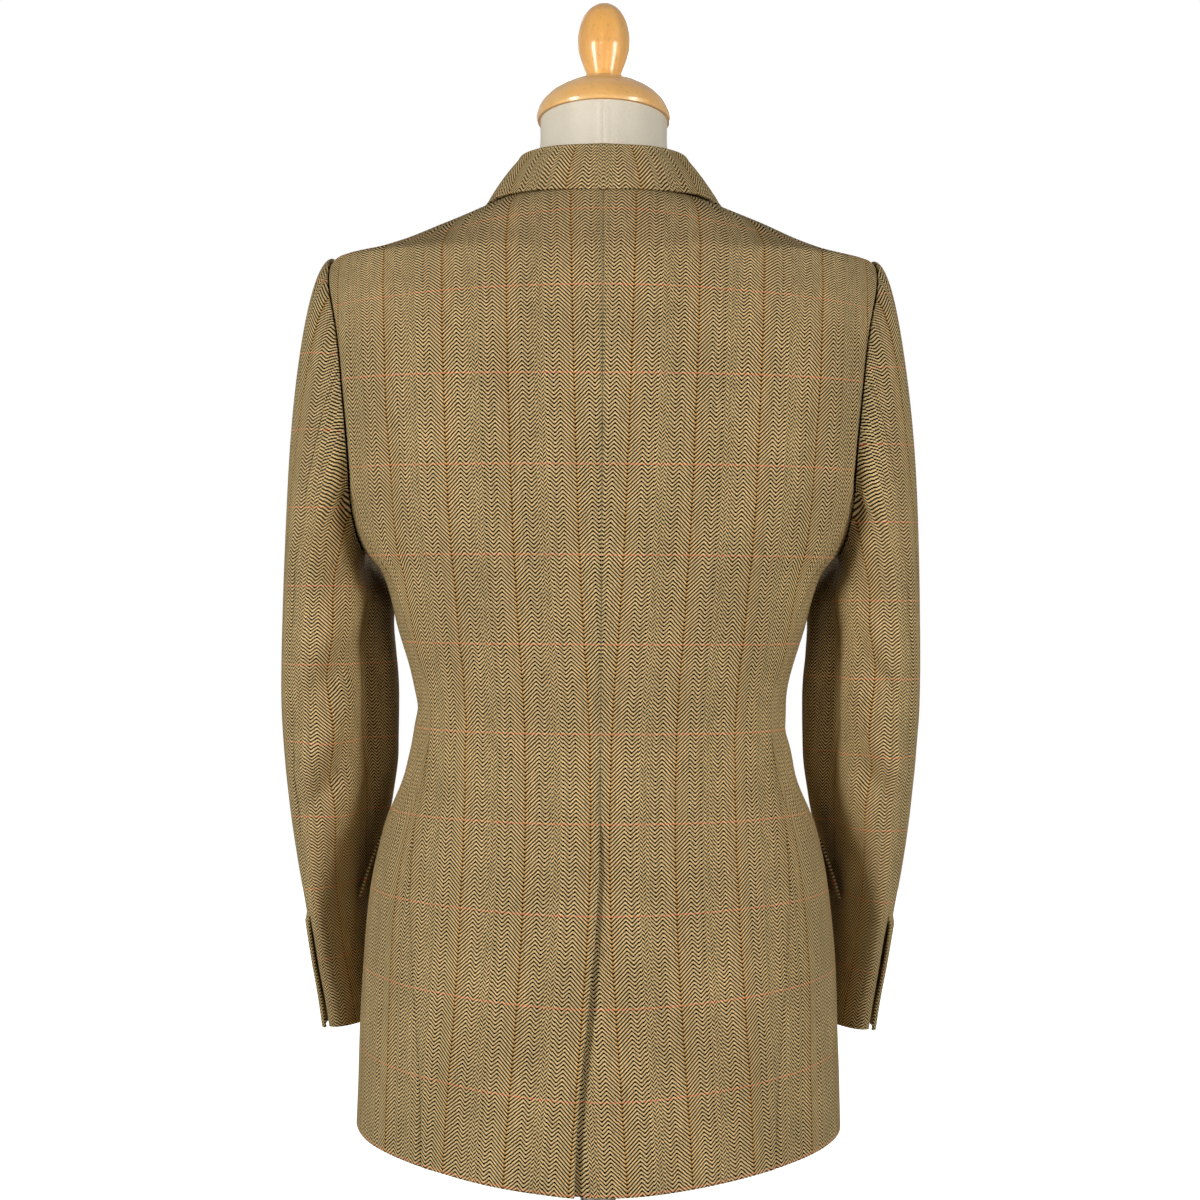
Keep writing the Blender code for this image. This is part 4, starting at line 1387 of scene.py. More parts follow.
@dataclass
class FrontPanel(ClothPanel):
    """A front, with its cutaway quarter and roll line; the left laps over the right."""

    rows: int = 190
    cols: int = 90
    row_stops: tuple[float, ...] = (0, 0.05, 0.16, 0.36, 0.66, 0.84, 1)
    z_stops: tuple[float, ...] = (130, 142, 190, 400, 628, 822, 872)
    overlap: float = 18
    cutaway_top: float = 400
    cutaway: float = 42
    corner: float = 55
    roll_low: tuple[float, float] = (505, -6)
    roll_top: tuple[float, float] = (868, 70)
    neck_ease: float = 8
    neck_ease_z: float = 846
    drop: float = 3.0
    drop_width: float = 32
    drop_end: float = 580
    break_z: float = 540
    phase: float = 3.6
    first_line: float = 12
    edge_ease: float = 22
    droop: float = 0.001
    stem = "front"
    dart: Crease = Crease((92, 330), (96, 560), 2.2, -1.0)
    creases: dict[Hand, tuple[Crease, ...]] = field(
        default_factory=lambda: {
            Hand.LEFT: (
                Crease((20, 508), (110, 540), 8, -1.5),
                Crease((24, 480), (120, 462), 8, -1.3),
                Crease((150, 600), (128, 720), 12, -1.8),
            ),
            Hand.RIGHT: (
                Crease((30, 500), (124, 524), 9, -1.4),
                Crease((34, 470), (112, 448), 8, -1.2),
                Crease((152, 610), (132, 730), 12, -1.6),
            ),
        }
    )

    def roll(self, z: Array) -> Array:
        """Distance of the roll line from the centre front."""
        (low_z, low_q), (top_z, top_q) = self.roll_low, self.roll_top
        return mix(low_q, top_q, (z - low_z) / (top_z - low_z))

    def edge(self, z: Array) -> Array:
        """Distance of the front's edge from the centre front; negative is past it."""
        body, low_z = self.body, self.roll_low[0]
        ease = self.neck_ease * smooth((z - self.neck_ease_z) / (self.z_stops[-1] - self.neck_ease_z))
        narrowed = smooth((z - self.cutaway_top) / (low_z - self.cutaway_top))
        below = mix(-self.overlap, self.roll_low[1], narrowed)
        share = np.clip((self.cutaway_top - z) / (self.cutaway_top - body.hem_z), 0, 1)
        short = np.clip(self.corner - (z - body.hem_z), 0, self.corner)
        below = below + self.cutaway * share**2 + self.corner - np.sqrt(self.corner**2 - short**2)
        return np.where(z > low_z, self.roll(z) + ease, below)

    def layer(self, z: Array, q: Array) -> Array:
        """The right front lies a layer lower where the left laps over it."""
        if self.hand is Hand.LEFT:
            return 0 * (z + q)
        near = smooth((self.drop_width - q) / (self.drop_width / 2))
        return -self.drop * near * smooth((self.drop_end - z) / (self.drop_end - self.break_z))

    def over(self, z: Array, q: Array, out: Number) -> Array:
        """Points over the front by height and distance from the centre."""
        return self.body.out(z, self.body.angle_at_x(z, q, Facing.FRONT), out + self.layer(z, q))

    def lay(self, row: Array, col: Array) -> Laid:
        """Lays the panel from its side seam and armhole to the front edge."""
        body = self.body
        z = np.interp(row, self.row_stops, self.z_stops)
        first = body.outer_edge(z, Facing.FRONT)
        last = body.angle_at_x(z, self.edge(z), Facing.FRONT)
        points = body.point(z, mix(first, last, self.seam_cols(col)))
        run = run_along(points, 1)
        from_centre = run[:, -1:] - run + self.edge(z)
        relief = Unevenness(self.phase * self.hand.value).relief(run, z)
        relief += self.folded(from_centre, z, self.creases) + self.dart.relief(from_centre, z)
        relief = self.layer(z, points[..., 0]) + relief * smooth(run / self.edge_ease)
        relief += self.outer_seam(PLAIN_SEAM, z, run, Facing.FRONT)
        v = body.weft(z) + body.droop(points, z, self.droop)
        return Laid(points, relief, np.stack([from_centre - self.first_line, v], axis=-1))


@dataclass
class LapelPanel(ClothPanel):
    """The turned-back lapel, lying on its front from the break to the gorge."""

    front: Optional[FrontPanel] = None
    rows: int = 110
    cols: int = 46
    gorge_z: float = 836
    corner_q: float = 124
    corner_z: float = 792
    belly: float = 9
    lie: float = 3.6
    roll_gap: float = 0.4
    point_width: float = 4
    swell: float = 2.4
    swell_rate: float = 1.15
    swell_start: float = 0.1
    first_line: float = 8
    stitch: EdgeStitch = EdgeStitch(0.7, 1.6)
    stem = "lapel"
    hold: Hold = Hold.FOLDED
    faces_in: bool = True

    def lay(self, row: Array, col: Array) -> Laid:
        """Lays the lapel from its roll line to its outer edge, rolled soft at the break."""
        front = self.front
        low = front.break_z
        inner_z = mix(low, self.gorge_z, row)
        inner_q = front.roll(inner_z) + self.roll_gap
        outer_z = mix(low, self.corner_z, row)
        outer_q = mix(front.roll(np.array(low)) + self.point_width, self.corner_q, row)
        outer_q = outer_q + self.belly * np.sin(math.pi * row)
        z, q = mix(inner_z, outer_z, col), mix(inner_q, outer_q, col)
        points = front.over(z, q, self.lie)
        run, rise = run_along(points, 1), run_along(points, 0)
        from_edge = run[:, -1:] - run
        swell = self.swell * np.sin(math.pi * np.clip(col * self.swell_rate, 0, 1))
        relief = swell * smooth(row / self.swell_start) + self.stitch.relief(from_edge)
        return Laid(points, relief, np.stack([from_edge + self.first_line, rise], axis=-1))


@dataclass(frozen=True)
class CollarStation:
    """One place along the collar: its crease, the stand below it and where the leaf's edge lies."""

    s: float
    crease_x: float
    crease_y: float
    crease_z: float
    stand: float
    leaf_angle: float
    leaf_z: float


@dataclass
class CollarPanel(ClothPanel):
    """The collar: up the stand, over the crease and down the leaf, from gorge to gorge."""

    rows: int = 230
    cols: int = 72
    stations: tuple[CollarStation, ...] = (
        CollarStation(0.00, 0, -64, 910, 30, 0, 871),
        CollarStation(0.20, 36, -55, 910, 30, 38, 872),
        CollarStation(0.40, 61, -28, 909, 29, 72, 873),
        CollarStation(0.60, 67.5, 6, 898, 20, 100, 868),
        CollarStation(0.80, 68.5, 47, 875, 6, 118, 854),
        CollarStation(1.00, 64, 77, 843, 3, 128, 834),
    )
    fold: float = 2.8
    leaf_out: float = 2.7
    bulge: float = 2.2
    notch_start: float = 0.55
    notch: float = 9
    notch_from: float = 0.9
    stand_lean: float = 6
    full_stand: float = 30
    sideways_from: float = 0.6
    crease_at: float = 0.3
    leaf_at: float = 0.44
    fold_back: float = 0.1
    fold_reach: float = 1.1
    line_at: float = 0.75
    line_rise: float = 30
    wave: float = 0.3
    wave_length: float = 9.0
    wave_width: float = 14
    first_line: float = 26
    stitch: EdgeStitch = EdgeStitch(0.55, 1.5)
    hold: Hold = Hold.FOLDED

    @property
    def name(self) -> str:
        """The CAD node that the panel stands for."""
        return "collar"

    def lay(self, row: Array, col: Array) -> Laid:
        """Lays the collar from the left gorge to the right one."""
        s = row * 2 - 1
        far, side = np.abs(s), np.where(s >= 0, 1.0, -1.0)
        names = ("crease_x", "crease_y", "crease_z", "stand", "leaf_angle", "leaf_z")
        at = {n: track(far) for n, track in fit_columns(self.stations, names, "s").items()}
        crease = stack(at["crease_x"], at["crease_y"], at["crease_z"])
        leaf_normal = self.body.normal(at["leaf_z"], at["leaf_angle"])
        leaf_edge = self.body.point(at["leaf_z"], at["leaf_angle"]) + leaf_normal * self.leaf_out
        sideways = smooth((far - self.sideways_from) / (1 - self.sideways_from))[..., None]
        out = unit(stack(at["crease_x"], at["crease_y"], 0 * far))
        out = unit(mix(out, np.array([1.0, 0, 0]), sideways))
        up = np.array([0.0, 0, 1])
        r = self.fold
        lean = (self.stand_lean * at["stand"] / self.full_stand)[..., None]
        foot = crease - up * at["stand"][..., None] + out * lean
        stand = np.clip(col / self.crease_at, 0, 1)[..., None]
        turn = np.clip((col - self.crease_at) / (self.leaf_at - self.crease_at), 0, 1)[..., None] * math.pi
        fall = np.clip((col - self.leaf_at) / (1 - self.leaf_at), 0, 1)[..., None]
        inner = mix(foot - out * r, crease - up * r - out * r, stand)
        over = crease - up * (r * (1 - np.sin(turn)))
        over = over + out * (r * (self.fold_back - self.fold_reach * np.cos(turn)))
        top = crease - up * r + out * ((self.fold_back + self.fold_reach) * r)
        leaf = mix(top, leaf_edge, fall) + leaf_normal * (self.bulge * np.sin(math.pi * fall))
        near_end = smooth((far - self.notch_from) / (1 - self.notch_from))
        open_by = near_end * np.clip(fall[..., 0] - self.notch_start, 0, None) / (1 - self.notch_start)
        leaf = leaf + up * (self.notch * open_by)[..., None]
        points = np.where(stand < 1, inner, np.where(fall > 0, leaf, over))
        points = points * stack(side, 1 + 0 * side, 1 + 0 * side)
        run, along = run_along(points, 1), run_along(points, 0)
        middle, line = self.rows // 2, int(self.cols * self.line_at)
        u = (along - along[middle : middle + 1])[:, line : line + 1] + 0 * run
        v = self.line_rise - (run - run[:, line : line + 1])
        from_edge = run[:, -1:] - run
        relief = self.stitch.relief(from_edge) * (fall[..., 0] > 0)
        relief += self.wave * np.sin(u / self.wave_length) * bell(from_edge, self.wave_width)
        return Laid(points, relief, np.stack([np.abs(u) - self.first_line, v], axis=-1))


@dataclass
class SleevePanel(ClothPanel):
    """One of a sleeve's two pieces, between the hindarm and forearm seams."""

    faces_in: bool = True
    sleeve: Optional[SleeveForm] = None
    top: bool = True
    rows: int = 190
    cols: int = 84
    row_stops: tuple[float, ...] = (0, 0.05, 0.4, 0.8, 0.88, 1)
    t_stops: tuple[float, ...] = (0, 0.06, 1, 1.66, 1.76, 2)
    weft_ease: float = 0.9
    warp_start: float = 24.3
    seam_gap: float = 0.16
    folds_from: float = 0.35
    pocket_from: float = 0.05
    seams_from: float = 0.02
    seams_ease: float = 0.1
    phase: float = 0.8
    uneven: float = 0.4
    cuff_top: float = 230
    cuff_ease: float = 40
    vent_ease: float = 8
    tuck: float = 0.7
    tuck_width: float = 9
    tuck_below: float = 6
    tuck_ease: float = 20
    red_line_z: dict[Hand, float] = field(default_factory=lambda: {Hand.LEFT: 572, Hand.RIGHT: 563})
    folds: dict[Hand, tuple[Crease, ...]] = field(
        default_factory=lambda: {
            Hand.LEFT: (
                Crease((226, 606), (300, 626), 15, -6.0),
                Crease((100, 562), (172, 576), 20, 5.0),
                Crease((180, 586), (272, 504), 17, 3.6),
                Crease((190, 545), (290, 455), 14, -4.6),
                Crease((194, 500), (286, 418), 16, 4.0),
                Crease((196, 460), (284, 380), 14, -4.0),
                Crease((248, 462), (290, 434), 6, -2.2),
                Crease((212, 440), (262, 400), 7, -1.8),
                Crease((205, 520), (240, 492), 6, -1.6),
                Crease((20, 640), (80, 560), 12, -1.6),
                Crease((40, 500), (120, 440), 10, -2.2),
                Crease((50, 460), (125, 405), 10, -1.8),
            ),
            Hand.RIGHT: (
                Crease((232, 604), (296, 618), 16, -5.0),
                Crease((100, 560), (172, 574), 20, 5.0),
                Crease((180, 590), (270, 500), 17, 3.8),
                Crease((198, 560), (276, 466), 13, -4.4),
                Crease((192, 500), (288, 412), 16, 4.2),
                Crease((200, 478), (276, 388), 15, -4.6),
                Crease((232, 530), (268, 477), 6, -2.0),
                Crease((226, 447), (264, 404), 8, -2.2),
                Crease((24, 636), (84, 566), 12, -1.5),
                Crease((44, 492), (122, 432), 10, -2.0),
                Crease((54, 452), (128, 398), 10, -1.7),
            ),
        }
    )

    @property
    def name(self) -> str:
        """The CAD node that the panel stands for."""
        return f"{'top' if self.top else 'under'}_sleeve_{self.hand.word}"

    def lay(self, row: Array, col: Array) -> Laid:
        """Lays the piece from the armhole down to the cuff."""
        form = self.sleeve
        t = np.interp(row, self.row_stops, self.t_stops)
        first, last = (form.hindarm - 360, form.forearm) if self.top else (form.forearm, form.hindarm)
        direction = mix(first + self.seam_gap, last - self.seam_gap, self.seam_cols(col))
        points = form.point(t, direction)
        round_it = direction % 360
        z = points[..., 2]
        away = smooth(t / self.folds_from)
        relief = (self.folded(round_it, z, self.folds) - form.hollow(z, round_it)) * away
        relief -= form.armpit(z, round_it) * smooth(t / self.pocket_from)
        swells = Unevenness(self.phase * self.hand.value + self.top, self.uneven)
        relief += swells.relief(round_it, z) * away * smooth((z - self.cuff_top) / self.cuff_ease)
        run = run_along(points, 1)
        back_run = run[:, -1:] - run
        below_head = smooth((t - self.seams_from) / self.seams_ease)
        relief += (FLAT_SEAM.relief(run) + FLAT_SEAM.relief(back_run)) * below_head
        if self.top:
            near = smooth((form.vent_width - (direction - form.hindarm) % 360) / form.vent_width)
            relief += form.vent_lift * near * smooth((form.vent_z - z) / self.vent_ease)
        else:
            tuck = self.tuck * bell(back_run, self.tuck_width)
            relief -= tuck * smooth((form.vent_z - self.tuck_below - z) / self.tuck_ease)
        down = run_along(points, 0)
        level = np.argmin(np.abs(t[:, 0] - 1))
        v = form.bicep_z - (down - down[level : level + 1]) - self.red_line_z[self.hand]
        u = form.girth(t, direction) + self.warp_start
        return Laid(points, relief, np.stack([u, v / self.weft_ease], axis=-1))


@dataclass
class FlapPanel(ClothPanel):
    """A pocket flap, standing off the body at its lower edge and rear end."""

    rows: int = 50
    cols: int = 90
    low_z: float = 318
    top_z: float = 370
    rear: float = 93
    front_end: float = 141
    lie: float = 3.0
    flare: float = 3.6
    flare_rear: float = 4.8
    wave: float = 0.3
    wave_length: float = 13
    first_line: float = 5
    stitch: EdgeStitch = EdgeStitch(0.5, 1.4)
    stem = "flap"

    def lay(self, row: Array, col: Array) -> Laid:
        """Lays the flap from its rear end forwards."""
        z = mix(self.low_z, self.top_z, row)
        angle = mix(self.rear, self.front_end, col)
        stand = self.flare * (1 - row) + self.flare_rear * (1 - row) * (1 - col) ** 3
        points = self.body.out(z, angle, self.lie + stand)
        run, rise = run_along(points, 1), run_along(points, 0)
        inset = np.minimum(np.minimum(run, run[:, -1:] - run), rise)
        relief = self.stitch.relief(inset) + self.wave * np.sin(run / self.wave_length + self.hand.value)
        return Laid(points, relief, np.stack([run + self.first_line, self.body.weft(z)], axis=-1))


class Mesher:
    """Makes objects of bmesh work in millimetres."""

    @staticmethod
    def turned(profile: Sequence[tuple[float, float]], steps: int) -> bmesh.types.BMesh:
        """A solid of revolution about Z.

        Args:
            profile: (radius, height) points that start and end on the axis.
            steps: faces round it.

        Returns:
            The closed mesh, facing outwards.
        """
        bm = bmesh.new()
        verts = [bm.verts.new((radius, 0, height)) for radius, height in profile]
        edges = [bm.edges.new(pair) for pair in zip(verts, verts[1:])]
        full = {"cent": (0, 0, 0), "axis": (0, 0, 1), "angle": 2 * math.pi}
        bmesh.ops.spin(bm, geom=verts + edges, steps=steps, use_merge=True, **full)
        bmesh.ops.remove_doubles(bm, verts=bm.verts, dist=0.001)
        bmesh.ops.recalc_face_normals(bm, faces=bm.faces)
        return bm

    @staticmethod
    def finish(name: str, bm: bmesh.types.BMesh, sharp: float = 40) -> Object:
        """Scales a mesh to metres and makes its object.

        Args:
            name: the object's name.
            bm: the mesh, which is freed.
            sharp: the angle in degrees past which an edge stays sharp.

        Returns:
            The object.
        """
        bmesh.ops.scale(bm, vec=(MM, MM, MM), verts=bm.verts)
        mesh = bpy.data.meshes.new(name)
        bm.to_mesh(mesh)
        bm.free()
        mesh.shade_smooth()
        mesh.set_sharp_from_angle(angle=math.radians(sharp))
        made = bpy.data.objects.new(name, mesh)
        bpy.context.scene.collection.objects.link(made)
        return made


@dataclass
class FrontButton:
    """A dished horn button with four holes, sewn to the left front."""

    body: BodyForm
    number: int
    z: float
    radius: float = 10.5
    thick: float = 4.0
    rim: float = 1.6
    dish: float = 0.9
    clear: float = 0.7
    hole_at: float = 1.9
    hole_radius: float = 0.9
    hole_rim: float = 0.22
    hole_depth: float = 0.5
    hole_proud: float = 0.02
    holes: int = 4
    floor_radius: float = 4.2

    def frame(self) -> Matrix:
        """Where the button sits on the cloth."""
        z, angle = np.array(self.z, float), np.array(180.0)
        normal = Vector(self.body.normal(z, angle))
        turn = Vector((0, 0, 1)).rotation_difference(normal).to_matrix().to_4x4()
        return Matrix.Translation(Vector(self.body.out(z, angle, self.clear))) @ turn

    def build(self) -> Object:
        """Turns the button, rounds its rim and sinks its holes.

        Returns:
            The finished object.
        """
        t, r, rim = self.thick, self.radius, self.rim
        floor = t - self.dish
        profile = [(0, 0), (r - rim, 0), (r - 0.4, t * 0.22), (r, t / 2), (r - 0.25, t * 0.82), (r - 0.8, t)]
        profile += [(r - rim, t), (r - 1.5 * rim, t - 0.25 * self.dish), (r - 2 * rim, floor)]
        profile += [(self.floor_radius, floor), (0, floor)]
        bm = Mesher.turned(profile, 64)
        for i in range(self.holes):
            turn = math.radians(45 + 90 * i)
            x, y = self.hole_at * math.cos(turn), self.hole_at * math.sin(turn)
            place = Vector((x, y, floor + self.hole_proud))
            ring = bmesh.ops.create_circle(bm, cap_ends=True, segments=14, radius=self.hole_radius)["verts"]
            bmesh.ops.translate(bm, vec=place, verts=ring)
            faces = list({f for v in ring for f in v.link_faces})
            if faces[0].normal.z < 0:
                bmesh.ops.reverse_faces(bm, faces=faces)
            bmesh.ops.inset_region(bm, faces=faces, thickness=self.hole_rim, depth=-self.hole_depth)
        bmesh.ops.transform(bm, matrix=self.frame(), verts=bm.verts)
        made = Mesher.finish(f"button_{self.number}_horn", bm)
        return HORN.dress(made, f"button_{self.number}")


@dataclass
class Jacket:
    """The whole jacket: every cut piece and its buttons."""

    body: BodyForm = field(default_factory=BodyForm)
    button_heights: tuple[float, ...] = (505, 400)

    def build(self) -> list[Object]:
        """Makes every piece.

        Returns:
            The pieces' objects.
        """
        made = []
        sleeve = SleeveForm(self.body)
        for hand in Hand:
            front = FrontPanel(self.body, hand)
            panels = [BackPanel(self.body, hand), SidePanel(self.body, hand), front]
            panels += [LapelPanel(self.body, hand, front=front), FlapPanel(self.body, hand)]
            panels += [SleevePanel(self.body, hand, sleeve=sleeve, top=top) for top in (True, False)]
            made += [panel.build() for panel in panels]
        made.append(CollarPanel(self.body, Hand.RIGHT).build())
        for number, z in enumerate(self.button_heights, start=1):
            made.append(FrontButton(self.body, number, z).build())
        return made


@dataclass(frozen=True)
class NeckSection:
    """One level of the form's neck."""

    z: float
    half_width: float
    half_depth: float
    middle_y: float


@dataclass
class DressForm:
    """The covered torso with its wooden cap and finial."""

    body: BodyForm
    bottom_z: float = 166
    gap: float = 12
    top_z: float = 879
    neck: tuple[NeckSection, ...] = (
        NeckSection(892, 56.5, 54.5, -4),
        NeckSection(908, 52, 52, -2),
        NeckSection(925, 50, 50, 0),
        NeckSection(941, 50, 50, 2),
    )
    tilt: float = 7.5
    cap_gap: float = 0.4
    cap: tuple[tuple[float, float], ...] = (
        *((0, 52.2), (3, 53), (10, 51.2), (18, 45.6)),
        *((25, 36.4), (30.5, 25), (33.6, 16), (34.4, 13.8)),
    )
    finial: tuple[tuple[float, float], ...] = (
        *((0, 13.4), (3, 13.7), (9.5, 15.8), (17.5, 18.6), (26, 20.6), (33.5, 20.9)),
        *((42, 19.8), (50, 17.2), (56.5, 13), (60.5, 8.2), (62.8, 3)),
    )
    rows: int = 150
    cols: int = 160
    levels: int = 40
    chest_z: float = 800
    chest_row: float = 0.62
    crowd: float = 0.8
    cover_girth: float = 0.62
    seam: Seam = Seam(depth=0.7, width=0.9, ridge=0.35, ridge_at=3.2, ridge_width=1.6)

    def ring_sizes(self, z: Array) -> dict[str, Array]:
        """The torso's and neck's sizes at each height."""
        torso_z = np.linspace(self.bottom_z, self.top_z, self.levels)
        zs = list(torso_z) + [n.z for n in self.neck]
        size, level = self.body.size, [0.0] * len(torso_z)
        slope, count = math.tan(math.radians(self.tilt)), len(self.neck)
        columns = {
            "half_width": list(size["half_width"](torso_z) - self.gap) + [n.half_width for n in self.neck],
            "back": list(size["back"](torso_z) - self.gap) + [n.half_depth for n in self.neck],
            "front": list(size["front"](torso_z) - self.gap) + [n.half_depth for n in self.neck],
            "square": list(size["square"](torso_z)) + [2.0] * count,
            "middle": level + [n.middle_y for n in self.neck],
            "tilt": level + [slope * (i + 1) / count for i in range(count)],
        }
        return {name: Track(zs, column)(z) for name, column in columns.items()}

    def torso(self) -> Object:
        """The torso's cover, with sewn seams at the centre back and front.

        Returns:
            The finished object.
        """
        rows, cols = self.rows, self.cols
        bm = bmesh.new()
        bmesh.ops.create_grid(bm, x_segments=cols, y_segments=rows, size=0.5)
        bm.verts.ensure_lookup_table()
        flat = np.array([v.co[:2] for v in bm.verts]) + 0.5
        heights = (self.bottom_z, self.chest_z, self.neck[-1].z)
        row = np.interp(flat[:, 1], (0, self.chest_row, 1), heights)
        turn = flat[:, 0] - self.crowd / (4 * math.pi) * np.sin(4 * math.pi * flat[:, 0])
        angle = turn * 2 * math.pi
        at = self.ring_sizes(row)
        across, along = np.sin(angle), np.cos(angle)
        depth = np.where(along > 0, at["back"], at["front"])
        reach = superellipse(across, along, at["half_width"], depth, at["square"])
        from_seam = np.minimum(turn, np.minimum(1 - turn, np.abs(turn - 0.5))) * 2 * math.pi * reach
        reach = reach + self.seam.relief(from_seam)
        y = at["middle"] - reach * along
        points = stack(reach * across, y, row - at["tilt"] * y)
        cover = bm.loops.layers.uv.new("cover")
        place = np.stack([turn * self.cover_girth, row * MM], axis=-1)
        for face in bm.faces:
            for loop in face.loops:
                loop[cover].uv = place[loop.vert.index]
        for vert, point in zip(bm.verts, points):
            vert.co = point
        bmesh.ops.remove_doubles(bm, verts=bm.verts, dist=0.01)
        rim = [e for e in bm.edges if e.is_boundary]
        bmesh.ops.edgeloop_fill(bm, edges=rim)
        bmesh.ops.recalc_face_normals(bm, faces=bm.faces)
        return LINEN.dress(Mesher.finish("form_cover", bm), "form_body")

    def neck_frame(self) -> Matrix:
        """Where the neck's sloping top is."""
        top = self.neck[-1]
        slope = math.tan(math.radians(self.tilt))
        middle = Vector((0, top.middle_y, top.z - slope * top.middle_y))
        return Matrix.Translation(middle) @ Matrix.Rotation(math.radians(-self.tilt), 4, "X")

    def turned_on_neck(
        self, name: str, table: Sequence[tuple[float, float]], rows: int, raise_by: float
    ) -> Object:
        """A turned piece standing on the neck.

        Args:
            name: the object's name.
            table: (height, radius) points of its profile.
            rows: rows up the profile.
            raise_by: how far above the neck it stands.

        Returns:
            The object, not yet dressed.
        """
        heights = np.array([h for h, _ in table])
        share = (1 - np.cos(np.linspace(0, math.pi, rows + 1))) / 2
        z = heights[0] + (heights[-1] - heights[0]) * share
        radius = Track(heights, [r for _, r in table])(z)
        side = [(float(r), float(h)) for r, h in zip(radius, z)]
        bm = Mesher.turned([(0, float(z[0])), *side, (0, float(z[-1]))], 96)
        place = self.neck_frame() @ Matrix.Translation((0, 0, raise_by))
        bmesh.ops.transform(bm, matrix=place, verts=bm.verts)
        return Mesher.finish(name, bm, 50)

    def build(self) -> list[Object]:
        """Makes the cover, cap and finial.

        Returns:
            Their objects.
        """
        cap = self.turned_on_neck("neck_cap_turned", self.cap, 48, self.cap_gap)
        raise_by = self.cap[-1][0] + 2 * self.cap_gap
        knob = self.turned_on_neck("finial_turned", self.finial, 56, raise_by)
        return [self.torso(), BEECH_ACROSS.dress(cap, "neck_cap"), BEECH_UP.dress(knob, "finial")]


@dataclass
class Stand:
    """The steel pole and iron foot."""

    pole_radius: float = 14
    base_radius: float = 150
    base_thick: float = 16
    base_bevel: float = 4
    base_inner: float = 60
    base_ease: float = 0.8
    form_bottom: float = 166
    gap: float = 0.4

    def pole(self) -> Object:
        """The pole, with eased ends."""
        low, high, r = self.base_thick + self.gap, self.form_bottom - self.gap, self.pole_radius
        profile = [(0, low), (r - 1, low), (r, low + 1), (r, high - 1), (r - 1, high), (0, high)]
        return STEEL.dress(Mesher.finish("stand_pole_turned", Mesher.turned(profile, 72)), "stand_pole")

    def foot(self) -> Object:
        """The foot, with a rounded upper rim."""
        r, top, b = self.base_radius, self.base_thick, self.base_bevel
        turn = [math.radians(90 * i / 6) for i in range(7)]
        rim = [(r - b + b * math.cos(a), top - b + b * math.sin(a)) for a in turn]
        profile = [(0, 0), (r - self.base_ease, 0), (r, self.base_ease), *rim]
        profile += [(self.base_inner, top), (0, top)]
        return IRON.dress(Mesher.finish("stand_foot_turned", Mesher.turned(profile, 120)), "stand_base")

    def build(self) -> list[Object]:
        """Makes the pole and the foot."""
        return [self.pole(), self.foot()]


@dataclass(frozen=True)
class Lamp:
    """A soft box light in metres and watts; spread is how wide it fans out, in degrees."""

    name: str
    place: tuple[float, float, float]
    aim: tuple[float, float, float]
    size: tuple[float, float]
    watts: float
    spread: float = 180

    def hang(self) -> None:
        """Hangs the light, facing its aim."""
        lamp = bpy.data.lights.new(self.name, "AREA")
        lamp.spread = math.radians(self.spread)
        lamp.shape, lamp.energy = "RECTANGLE", self.watts
        lamp.size, lamp.size_y = self.size
        made = bpy.data.objects.new(self.name, lamp)
        made.location = self.place
        toward = Vector(self.aim) - Vector(self.place)
        made.rotation_euler = toward.to_track_quat("-Z", "Y").to_euler()
        bpy.context.scene.collection.objects.link(made)


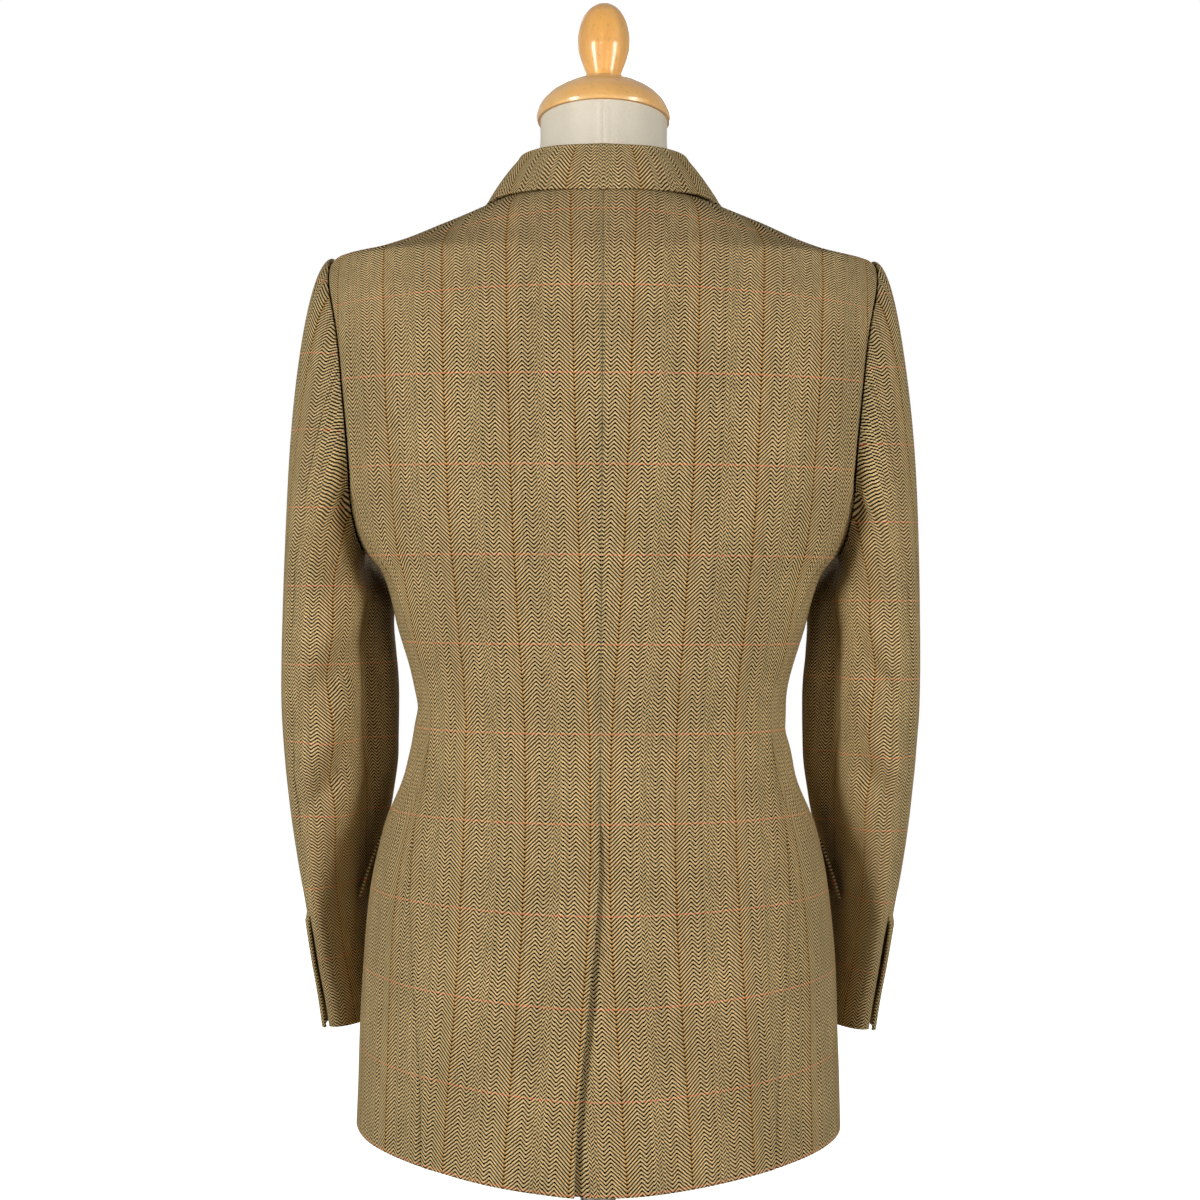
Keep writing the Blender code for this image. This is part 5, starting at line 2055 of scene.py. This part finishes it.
@dataclass
class Studio:
    """A pale floor, soft lights and the photograph's camera."""

    camera_x: float = -0.001
    camera_y: float = -1.65
    camera_z: float = 0.563
    focal_px: float = 2088
    frame_px: float = 1200
    roll: float = -0.3
    sky: float = 1.0
    gloss: float = 0.6
    fill: float = 0.03
    sensor: float = 36
    floor_radius: float = 2500
    floor_grey: float = 0.3
    lamps: tuple[Lamp, ...] = (
        Lamp("left_box", (-2.22, -1.86, 0.9), (0, 0, 0.6), (0.7, 1.1), 46),
        Lamp("right_box", (2.22, -1.86, 0.9), (0, 0, 0.6), (0.7, 1.1), 38),
        Lamp("left_strip", (-0.72, -2.2, 0.5), (0, 0, 0.7), (0.2, 0.9), 2),
        Lamp("right_strip", (0.68, -2.2, 0.5), (0, 0, 0.7), (0.2, 0.9), 2),
        Lamp("neck_spot", (-0.4, -1.7, 1.15), (0, 0, 1.0), (0.12, 0.08), 0.026, 11),
        Lamp("front_fill", (0.3, 2.8, 1.4), (0, 0, 0.6), (1.2, 1.4), 48),
    )

    def floor(self) -> None:
        """A wide pale floor."""
        bm = bmesh.new()
        bmesh.ops.create_circle(bm, cap_ends=True, segments=96, radius=self.floor_radius)
        made = Mesher.finish("floor", bm)
        paint = bpy.data.materials.new("floor")
        paint.use_nodes = True
        shader = paint.node_tree.nodes["Principled BSDF"]
        graph = Graph(paint.node_tree)
        seen = graph.add("ShaderNodeLightPath").outputs["Is Camera Ray"]
        looks = {"Base Color": (self.floor_grey,) * 3, "Roughness": 0.9}
        graph.settle(shader, looks | {"Emission Color": (1, 1, 1), "Emission Strength": seen})
        made.data.materials.append(paint)

    def world(self) -> None:
        """A white surround that lights the scene more gently than it looks."""
        world = bpy.data.worlds.new("studio")
        world.use_nodes = True
        graph = Graph(world.node_tree)
        back = world.node_tree.nodes["Background"]
        back.inputs["Color"].default_value = (1, 1, 1, 1)
        path = graph.add("ShaderNodeLightPath").outputs
        shown = graph.math("MULTIPLY", path["Is Camera Ray"], self.sky - self.fill)
        mirrored = graph.math("MULTIPLY", path["Is Glossy Ray"], self.gloss - self.fill)
        graph.feed(back.inputs["Strength"], graph.math("ADD", graph.math("ADD", shown, mirrored), self.fill))
        bpy.context.scene.world = world

    def camera(self) -> None:
        """The camera, level with the waist behind the jacket."""
        lens = bpy.data.cameras.new("camera")
        lens.sensor_width = self.sensor
        lens.lens = self.sensor * self.focal_px / self.frame_px
        made = bpy.data.objects.new("camera", lens)
        made.location = (self.camera_x, self.camera_y, self.camera_z)
        made.rotation_euler = (math.radians(90), math.radians(self.roll), 0)
        bpy.context.scene.collection.objects.link(made)
        bpy.context.scene.camera = made

    def build(self) -> None:
        """Sets the whole studio up."""
        self.floor()
        self.world()
        for lamp in self.lamps:
            lamp.hang()
        self.camera()
        view = bpy.context.scene.view_settings
        view.view_transform = "Standard"
        view.look = "None"
        view.exposure = 0.0


def main() -> None:
    """Builds the jacket, its form and the studio, and reports each piece."""
    logging.basicConfig(level=logging.INFO, format="%(name)s: %(message)s")
    jacket = Jacket()
    made = jacket.build() + DressForm(jacket.body).build() + Stand().build()
    for piece in made:
        LOG.info("%s: %d faces", piece.name, len(piece.data.polygons))
    Studio().build()


if __name__ == "__main__":
    main()
